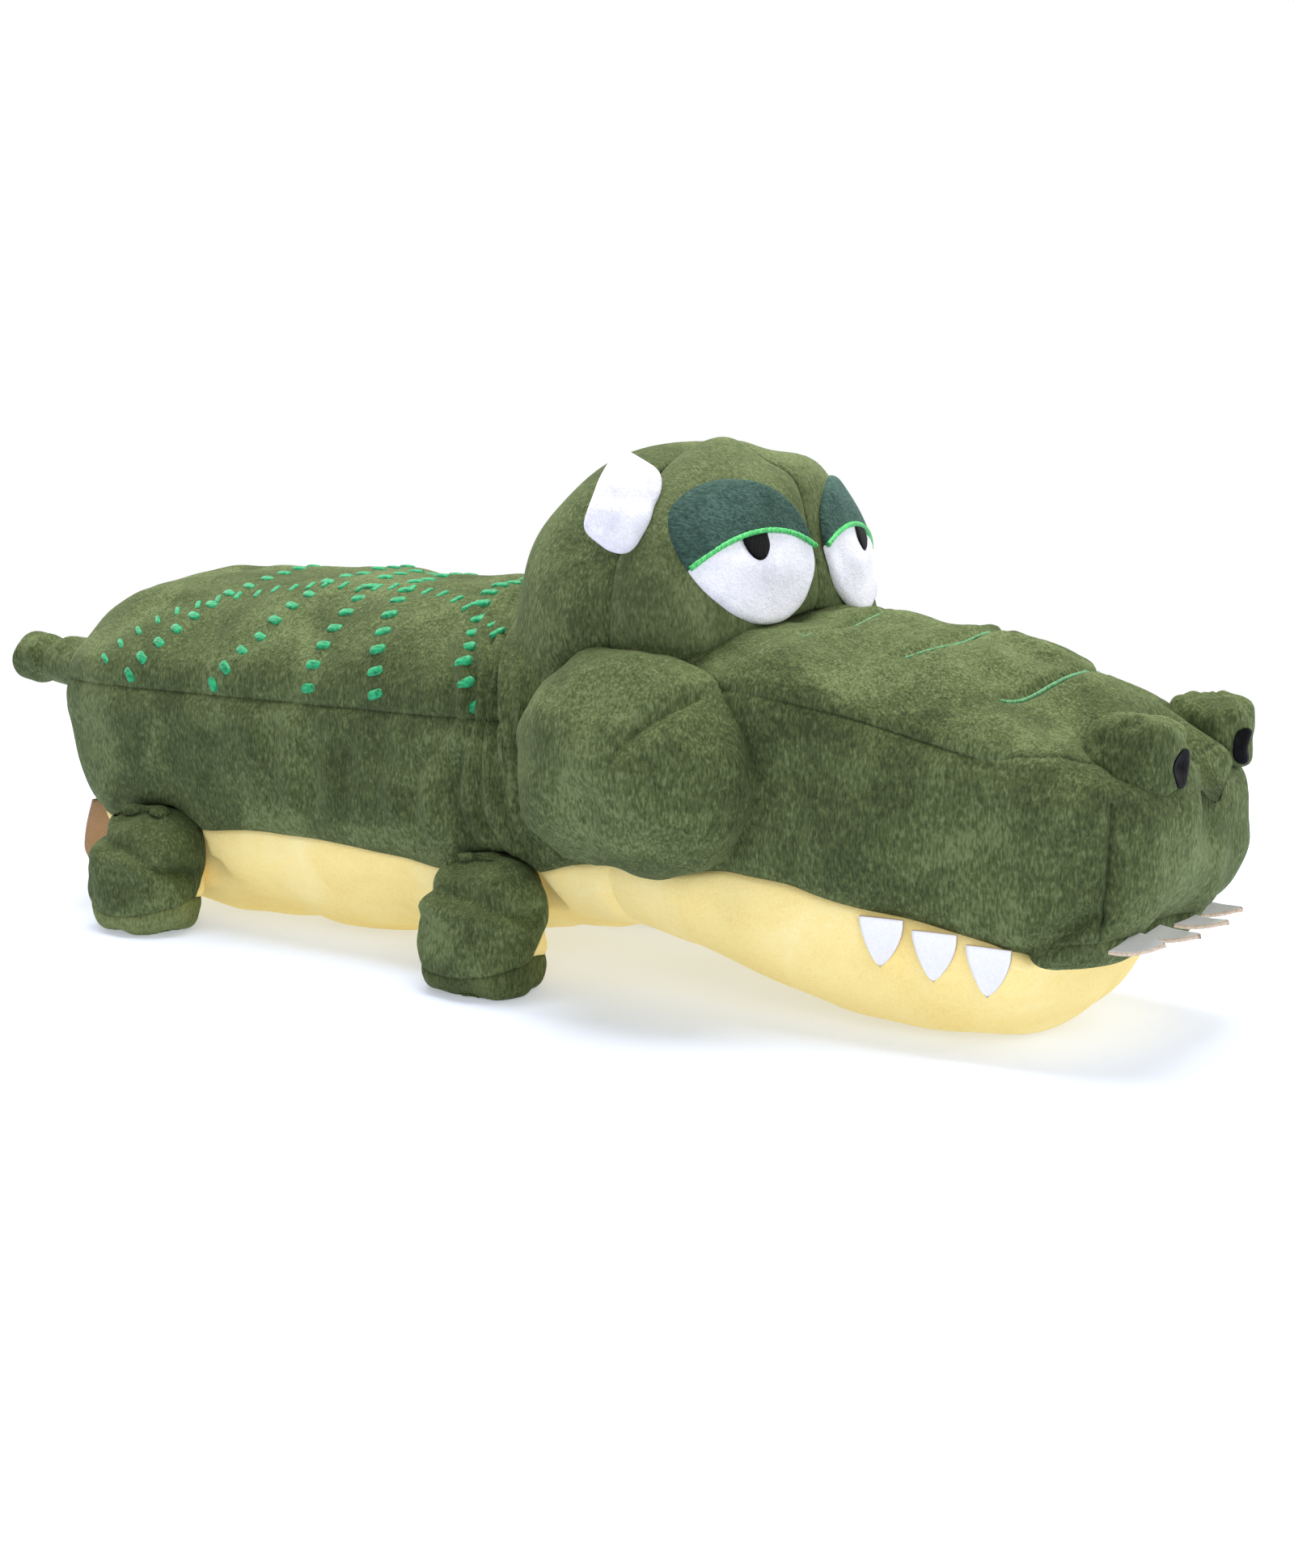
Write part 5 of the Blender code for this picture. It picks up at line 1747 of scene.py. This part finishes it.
@dataclass
class Nostril:
    """A stuffed bump at the front of the snout's top, with creases round it and an embroidered spot."""

    side: Side
    centre: tuple[float, float, float] = (0.3775, 0.0440, 0.1385)
    half: tuple[float, float, float] = (0.0200, 0.0185, 0.0180)
    power: float = 3.0
    spot: tuple[float, float] = (0.0430, 0.1345)
    spot_half: tuple[float, float] = (0.0058, 0.0078)
    left_spot: float = 0.0065

    def surface(self, ray: Array, lift: float = 0.0) -> Array:
        """Places on the bump in some directions.

        Args:
            ray: Directions from its middle.
            lift: How far off the bump.

        Returns:
            The places, on this side.
        """
        centre, half = np.array(self.centre), np.array(self.half)
        reach = (np.abs(ray) ** self.power).sum(axis=-1) ** (-1 / self.power)
        points = centre + ray * reach[..., None] * (half + lift)
        arch = points[..., 0] - 0.25 * (points[..., 2] - 0.138) + 0.0015 * wobble(points, 0.02, 80)
        crease = folds(arch, NOSTRIL_FOLDS) * ease((points[..., 2] - 0.130) / 0.02)
        pull = crease + 0.0009 * wobble(points, 0.014, 81)
        points = points - ray * pull[..., None]
        points[..., 1] *= self.side.value
        return points

    def build(self, finishes: Finishes) -> None:
        """Makes the bump and its spot."""
        tilt = np.linspace(-math.pi / 2, math.pi / 2, 44)[:, None]
        turn = full_turn(72)
        ray = placed(np.cos(tilt) * np.cos(turn), np.cos(tilt) * np.sin(turn), np.sin(tilt))
        name = f"nostril_{self.side.label}"
        bump = grid_object(f"{name}_bump", self.surface(ray), closed=True)
        piece(bump, HEAD, finishes.green, [name])
        size = np.linspace(0.0, 1.0, 9)[:, None]
        angle = full_turn(36)
        spot_y = self.spot[0] - (self.left_spot if self.side is Side.LEFT else 0.0)
        wide = (spot_y - self.centre[1] + self.spot_half[0] * size * np.cos(angle)) / self.half[1]
        tall = (self.spot[1] - self.centre[2] + self.spot_half[1] * size * np.sin(angle)) / self.half[2]
        ahead = 1 - np.abs(wide) ** self.power - np.abs(tall) ** self.power
        ahead = np.clip(ahead, 1e-6, None) ** (1 / self.power)
        ray = placed(ahead, wide, tall)
        ray /= np.linalg.norm(ray, axis=-1, keepdims=True)
        disc = self.surface(ray, 0.0007)
        inside = (self.centre[0], self.side.value * self.centre[1], self.centre[2])
        spot = grid_object(f"{name}_spot", disc, closed=True, inside=inside)
        piece(spot, HEAD, finishes.black, [f"nostril_spot_{self.side.label}"], SATIN)


# ---- Felt teeth ----


@dataclass
class Tooth:
    """A felt tooth: a flat petal, slightly bowed, with a singed edge."""

    name: str
    root: tuple[float, float, float]
    across: tuple[float, float, float]
    along: tuple[float, float, float]
    width: float
    length: float
    bow: float = 0.0012
    felt: float = 0.0019

    def build(self, finishes: Finishes) -> None:
        """Makes the tooth: a petal outline filled in rows, on both faces, with a rim between them.

        The half width along the tooth is a half cosine of its share, a little fuller than a triangle.
        """
        across = np.array(self.across) / np.linalg.norm(self.across)
        along = np.array(self.along) / np.linalg.norm(self.along)
        through = np.cross(across, along)
        share = np.linspace(0, 1, 20)[:, None]
        side = np.linspace(-1, 1, 13)[None]
        half = self.width / 2 * np.cos(share * math.pi / 2) ** 0.72
        step_out = half * side
        down = self.length * share * (1 - 0.02 * side**2)
        bend = self.bow * np.sin(math.pi * share) - 0.25 * self.bow * side**2
        middle = (
            np.array(self.root)
            + step_out[..., None] * across
            + down[..., None] * along
            + (bend + 0 * side)[..., None] * through
        )
        rows, columns = share.shape[0], side.shape[1]
        offset = rows * columns
        index = np.arange(offset).reshape(rows, columns)
        quads = grid_faces(rows, columns)
        loop = np.concatenate([index[0, :], index[1:, -1], index[-1, -2::-1], index[-2:0:-1, 0]])
        rim = np.stack([loop, np.roll(loop, -1), np.roll(loop, -1) + offset, loop + offset], -1)
        faces = np.concatenate([quads, quads[:, ::-1] + offset, rim])
        top = middle + through * self.felt / 2
        under = middle - through * self.felt / 2
        obj = mesh_object(self.name + "_petal", np.concatenate([top, under]).reshape(-1, 3), faces)
        shape = bmesh.new()
        shape.from_mesh(obj.data)
        bmesh.ops.recalc_face_normals(shape, faces=shape.faces)
        edge_like = [abs(f.normal.dot(Vector(through))) < 0.6 for f in shape.faces]
        shape.to_mesh(obj.data)
        shape.free()
        piece(obj, Place(self.name), finishes.felt, [self.name])
        obj.data.materials.append(finishes.felt_edge)
        obj.data.polygons.foreach_set("material_index", np.array(edge_like, int))


# For each front tooth, how far its root is moved on the three axes, how much its width rolls and how much
# its length slants.
FRONT_TOOTH_STEPS = (
    (-0.010, -0.0145, -0.001, 0.42, -0.10),
    (-0.006, -0.0105, -0.0025, 0.10, -0.05),
    (-0.006, -0.0035, -0.003, 0.08, 0.02),
    (-0.010, -0.0005, -0.003, 0.16, 0.06),
)
# Where the first side tooth is, and how far apart they are.
SIDE_TOOTH_X = 0.2795
SIDE_TOOTH_PITCH = 0.025


def build_teeth(muzzle: Muzzle, finishes: Finishes) -> None:
    """Makes the ten felt teeth where their solids are.

    Args:
        muzzle: The muzzle that they hang from.
        finishes: The toy's finishes.
    """
    for side in Side:
        for number in (1, 2, 3):
            name = f"side_tooth_{side.label}_{number}"
            low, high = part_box(name)
            x = SIDE_TOOTH_X + SIDE_TOOTH_PITCH * (number - 1)
            walls = muzzle.side_at(x + np.array((-0.01, 0.01)), np.full(2, high.z))
            root = (x, (low.y + high.y) / 2 + side.value * 0.0006, high.z)
            across = (0.02, side.value * float(walls[1] - walls[0]), 0.0)
            Tooth(name, root, across, (0, 0, -1), 0.021, 0.0225, -0.0012 * side.value).build(finishes)
    for number, (x, y, z, roll, slant) in enumerate(FRONT_TOOTH_STEPS, start=1):
        name = f"front_tooth_{number}"
        low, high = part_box(name)
        root = (low.x + x, (low.y + high.y) / 2 + y, (low.z + high.z) / 2 + z)
        Tooth(name, root, (0, 1, roll), (1, slant, 0.05), 0.0190, 0.0270, 0.0016).build(finishes)


# ---- Embroidery and the sheet of painted shade ----


@dataclass(frozen=True)
class Stitch:
    """A satin stitch: a small raised oval.

    Attributes:
        length: Its length across its row.
        width: Its width along its row.
        height: How far it stands up.
    """

    length: float = 0.0096
    width: float = 0.0050
    height: float = 0.0013

    def petals(self, places: Array, rows: Array, normals: Array) -> tuple[Array, Array]:
        """Vertices and faces of one stitch at each place.

        Args:
            places: Where the stitches are.
            rows: The direction of the row at each.
            normals: The fabric's normal at each.

        Returns:
            All vertices, and faces as indexes of them.
        """
        across = np.cross(normals, rows)
        across /= np.linalg.norm(across, axis=1, keepdims=True)
        along = np.cross(across, normals)
        turn = full_turn(14)
        reach = round_reach(turn, 5.0)
        levels = ((1.0, -1.0), (1.0, 0.2), (0.8, 0.78), (0.42, 0.98), (0.0, 1.05))
        rings = [
            places[:, None]
            + size * self.length / 2 * (reach * np.cos(turn))[None, :, None] * across[:, None]
            + size * self.width / 2 * (reach * np.sin(turn))[None, :, None] * along[:, None]
            + rise * self.height * normals[:, None]
            for size, rise in levels
        ]
        points = np.stack(rings, axis=1)
        count, depth, around = points.shape[:3]
        firsts = np.arange(count) * depth * around
        faces = grid_faces(depth, around, closed=True)[None] + firsts[:, None, None]
        return points.reshape(-1, 3), faces.reshape(-1, 4)


@dataclass
class Embroidery:
    """Rows of emerald stitches on the back: five across it, and one along it on each side."""

    torso: Torso
    pitch: float = 0.0122
    heights: tuple[float, ...] = (0.0, 0.2, 0.47, 0.78, 1.0)
    rows: tuple[tuple[float, ...], ...] = (
        (-0.195, -0.185, -0.173, -0.160, -0.148),
        (-0.131, -0.118, -0.107, -0.097, -0.087),
        (-0.054, -0.0555, -0.056, -0.0575, -0.060),
        (-0.007, -0.010, -0.016, -0.026, -0.036),
        (0.058, 0.051, 0.041, 0.028, 0.018),
    )
    long_x: tuple[float, ...] = (
        -0.219, -0.208, -0.190, -0.172, -0.152, -0.125, -0.094, -0.03, 0.005, 0.038, 0.057
    )
    long_y: tuple[float, ...] = (0.0965, 0.090, 0.075, 0.063, 0.054, 0.047, 0.044, 0.046, 0.052, 0.066, 0.076)

    def across(self, row: Sequence[float]) -> Array:
        """One row's path, from the right seam over the back to the left seam."""
        height = np.sin(np.linspace(0.05, math.pi / 2, 60)) ** 1.2
        x = monotone(height, self.heights, row)
        shrink = self.torso.top_at(x, np.zeros_like(x)) - self.torso.seam_z
        z = self.torso.seam_z + height * shrink * 0.9995
        y = self.torso.side_at(x, z)
        return np.concatenate([placed(x, -y, z), placed(x, y, z)[-2::-1]])

    def lengthwise(self, side: Side) -> Array:
        """The path of the row along the back on one side."""
        x = np.linspace(self.long_x[0], self.long_x[-1], 160)
        y = monotone(x, self.long_x, self.long_y)
        y = np.minimum(y, self.torso.side_at(x, np.full_like(x, self.torso.seam_z + 0.004)))
        return placed(x, side.value * y, self.torso.top_at(x, y))

    def build(self, finishes: Finishes) -> None:
        """Makes every stitch in one mesh.

        Args:
            finishes: The toy's finishes.
        """
        paths = [self.across(row) for row in self.rows] + [self.lengthwise(side) for side in Side]
        vertices, faces, count_so_far = [], [], 0
        for number, path in enumerate(paths):
            walk = perimeter(path)
            count = int((walk[-1] - 0.012) / self.pitch)
            at = np.linspace(0.007, walk[-1] - 0.007, count + 1)
            behind, spots, ahead = (
                placed(*(np.interp(at + step, walk, path[:, k]) for k in range(3)))
                for step in (-0.001, 0.0, 0.001)
            )
            normals = self.torso.normals(spots)
            pull = self.torso.pull(spots, -spots[:, 0])
            stitch = Stitch() if number < len(self.rows) else Stitch(0.0088, 0.0030, 0.0010)
            new, quads = stitch.petals(spots - normals * pull[:, None], ahead - behind, normals)
            vertices.append(new)
            faces.append(quads + count_so_far)
            count_so_far += len(new)
        obj = mesh_object("embroidery_rows", np.concatenate(vertices), np.concatenate(faces))
        piece(obj, NECK, finishes.emerald)


def build_tuck_threads(muzzle: Muzzle, finishes: Finishes) -> None:
    """Lays a thin thread in each tuck of the snout's top.

    Args:
        muzzle: The muzzle.
        finishes: The toy's finishes.
    """
    y = np.linspace(-0.053, 0.053, 64)
    for number, (at, radius) in enumerate(zip(TUCK_XS, (0.0008, 0.0008, 0.0011)), start=1):
        x = tuck_x(at, y)
        low = muzzle.seam(x)
        path = placed(x, y, halved(lambda z: muzzle.share(placed(x, y, z)) < 1, low, low + 0.08))
        away = np.ones(len(y))
        path -= muzzle.normals(path) * (muzzle.pull(path, 0 * away, away) - 0.0005)[:, None]
        obj = tube_object(f"tuck_thread_{number}", path, radius)
        piece(obj, HEAD, finishes.tuck_thread)


def build_painted_shade_sheet(finishes: Finishes) -> None:
    """Hangs a small tan sheet from the belly's seam behind the right rear leg: painted shade where the yellow
    belly's rear end lies in shadow.
    """
    seam_x, seam_y, seam_z = -0.2650, -0.052, 0.060
    half_width, length = 0.014, 0.037
    across = np.linspace(-1, 1, 12)
    down = np.linspace(0, 1, 16)[:, None]
    width = half_width * (1 - 0.25 * np.clip((down - 0.75) / 0.25, 0, 1) ** 2)
    y = seam_y + width * across
    x = seam_x - 0.009 * np.sin(down * math.pi * 0.55) + 0.10 * (seam_y - y)
    # The sheet is painted shade, tan where the yellow belly's rear lies in shadow.
    tag = grid_object("painted_shade_sheet", placed(x, y, seam_z - length * down), inside=(0.0, -0.05, 0.04))
    piece(tag, Place("torso"), finishes.tag, (), SHADE_SHEET)


# ---- Camera, light and ground ----


WHITE = (1.0, 1.0, 1.0, 1.0)


def joined(tree: bpy.types.NodeTree, kind: str, *sources: bpy.types.NodeSocket, operation: str = ""):
    """Adds a node whose first inputs come from some sockets.

    Args:
        tree: The nodes that it joins.
        kind: Its kind.
        sources: What its inputs come from, in their order.
        operation: What it works out, where its kind leaves that open.

    Returns:
        Its first output.
    """
    made = tree.nodes.new(kind)
    if operation:
        made.operation = operation
    for source, socket in zip(sources, made.inputs):
        tree.links.new(source, socket)
    return made.outputs[0]


def seen_directly(tree: bpy.types.NodeTree) -> bpy.types.NodeSocket:
    """1 for what the camera sees, straight or by gloss or glass, and 0 for light on the toy."""
    path = tree.nodes.new("ShaderNodeLightPath")
    total = path.outputs["Is Camera Ray"]
    for name in ("Is Glossy Ray", "Is Transmission Ray"):
        total = joined(tree, "ShaderNodeMath", total, path.outputs[name], operation="MAXIMUM")
    return total


@dataclass
class Studio:
    """The camera, the lamps, the pale floor and the white surroundings.

    Each lamp has a name, a place, the length of its side and its power in watts.
    """

    camera_at: tuple[float, float, float] = (0.7268, -0.9245, 0.2768)
    azimuth: float = math.radians(34.5)
    elevation: float = math.radians(9.3)
    lens: float = 49.68
    lamp_aim: tuple[float, float, float] = (0.02, 0.0, 0.12)
    lamps: tuple[tuple[str, tuple[float, float, float], float, float], ...] = (
        ("key", (0.0, 0.14, 1.60), 1.1, 34.0),
        ("front", (1.1, -1.1, 0.75), 0.9, 6.5),
        ("left_rim", (-1.25, 0.15, 0.75), 0.9, 8.0),
        ("right_rim", (1.2, 0.75, 0.6), 0.8, 7.0),
    )
    floor_rings: tuple[float, ...] = (0.001, 1.0, 3.0, 9.0)
    floor_fade: tuple[float, float] = (0.6, 1.3)

    def build(self) -> None:
        """Makes everything of the studio."""
        self.make_camera()
        self.make_world()
        self.make_floor()
        for lamp in self.lamps:
            self.make_lamp(*lamp)

    def make_camera(self) -> None:
        """Sets up the camera at the photograph's angle."""
        data = bpy.data.cameras.new("camera")
        data.lens = self.lens
        data.sensor_width = 36.0
        camera = bpy.data.objects.new("camera", data)
        bpy.context.scene.collection.objects.link(camera)
        level = math.cos(self.elevation)
        back = (math.sin(self.azimuth) * level, -math.cos(self.azimuth) * level, math.sin(self.elevation))
        camera.location = self.camera_at
        camera.rotation_euler = (-Vector(back)).to_track_quat("-Z", "Y").to_euler()
        bpy.context.scene.camera = camera

    def make_lamp(self, name: str, at: tuple[float, float, float], size: float, power: float) -> None:
        """Adds a square soft lamp that looks at the toy.

        Args:
            name: Its name.
            at: Its place.
            size: Its side.
            power: Its power in watts.
        """
        data = bpy.data.lights.new(name, "AREA")
        data.size = size
        data.energy = power
        lamp = bpy.data.objects.new(name, data)
        lamp.location = at
        lamp.rotation_euler = (Vector(self.lamp_aim) - Vector(at)).to_track_quat("-Z", "Y").to_euler()
        bpy.context.scene.collection.objects.link(lamp)

    def make_world(self) -> None:
        """Makes surroundings that light the toy plainly and show white."""
        world = bpy.data.worlds.new("surroundings")
        bpy.context.scene.world = world
        world.use_nodes = True
        tree = world.node_tree
        plain, white = tree.nodes["Background"], tree.nodes.new("ShaderNodeBackground")
        for background, strength in ((plain, 0.28), (white, 1.0)):
            background.inputs["Color"].default_value = WHITE
            background.inputs["Strength"].default_value = strength
        shown = joined(tree, "ShaderNodeMixShader", seen_directly(tree), plain.outputs[0], white.outputs[0])
        tree.links.new(shown, tree.nodes["World Output"].inputs["Surface"])

    def make_floor(self) -> None:
        """Makes the floor: white far off, and pale with the toy's shadow near it."""
        turn = full_turn(64)
        rings = np.stack([placed(r * np.cos(turn), r * np.sin(turn), 0.0) for r in self.floor_rings])
        floor = grid_object("floor", rings, closed=True, inside=(0, 0, -1))
        graph = Graph("floor")
        graph.dress(Base_Color=(0.66, 0.715, 0.88, 1.0), Roughness=1.0, Specular_IOR_Level=0.0)
        away = graph.node("ShaderNodeVectorMath", operation="LENGTH", Vector=graph.place).outputs["Value"]
        near, far = self.floor_fade
        spread = graph.node("ShaderNodeMapRange", Value=away, From_Min=near, From_Max=far)
        tree = graph.tree
        seen = seen_directly(tree)
        share = joined(tree, "ShaderNodeMath", spread.outputs["Result"], seen, operation="MULTIPLY")
        own_light = graph.node("ShaderNodeEmission", Color=(0.92, 0.95, 1.0, 1.0), Strength=0.38)
        pale = joined(tree, "ShaderNodeAddShader", graph.shader.outputs[0], own_light.outputs[0])
        white = graph.node("ShaderNodeEmission", Strength=1.0)
        shown = joined(tree, "ShaderNodeMixShader", share, pale, white.outputs[0])
        tree.links.new(shown, tree.nodes["Material Output"].inputs["Surface"])
        floor.data.materials.append(graph.material)


def main() -> None:
    """Builds every part of the toy and the studio, in order."""
    logging.basicConfig(level=logging.INFO, format="%(message)s")
    bpy.context.scene.view_settings.view_transform = "Standard"
    finishes = Finishes()
    torso = Torso()
    torso.build(finishes)
    for end, x in zip(("front", "rear"), torso.leg_xs):
        for side in Side:
            Leg(end, x, side).build(finishes)
    Tail().build(finishes)
    muzzle = Muzzle()
    head = Head(torso)
    head.build(finishes, muzzle)
    muzzle.build(finishes)
    for side in Side:
        Eye(head, side).build(finishes)
        Ear(side).build(finishes)
        Cheek(side, muzzle).build(finishes)
        Nostril(side).build(finishes)
    build_teeth(muzzle, finishes)
    build_tuck_threads(muzzle, finishes)
    Embroidery(torso).build(finishes)
    build_painted_shade_sheet(finishes)
    Studio().build()


if __name__ == "__main__":
    main()
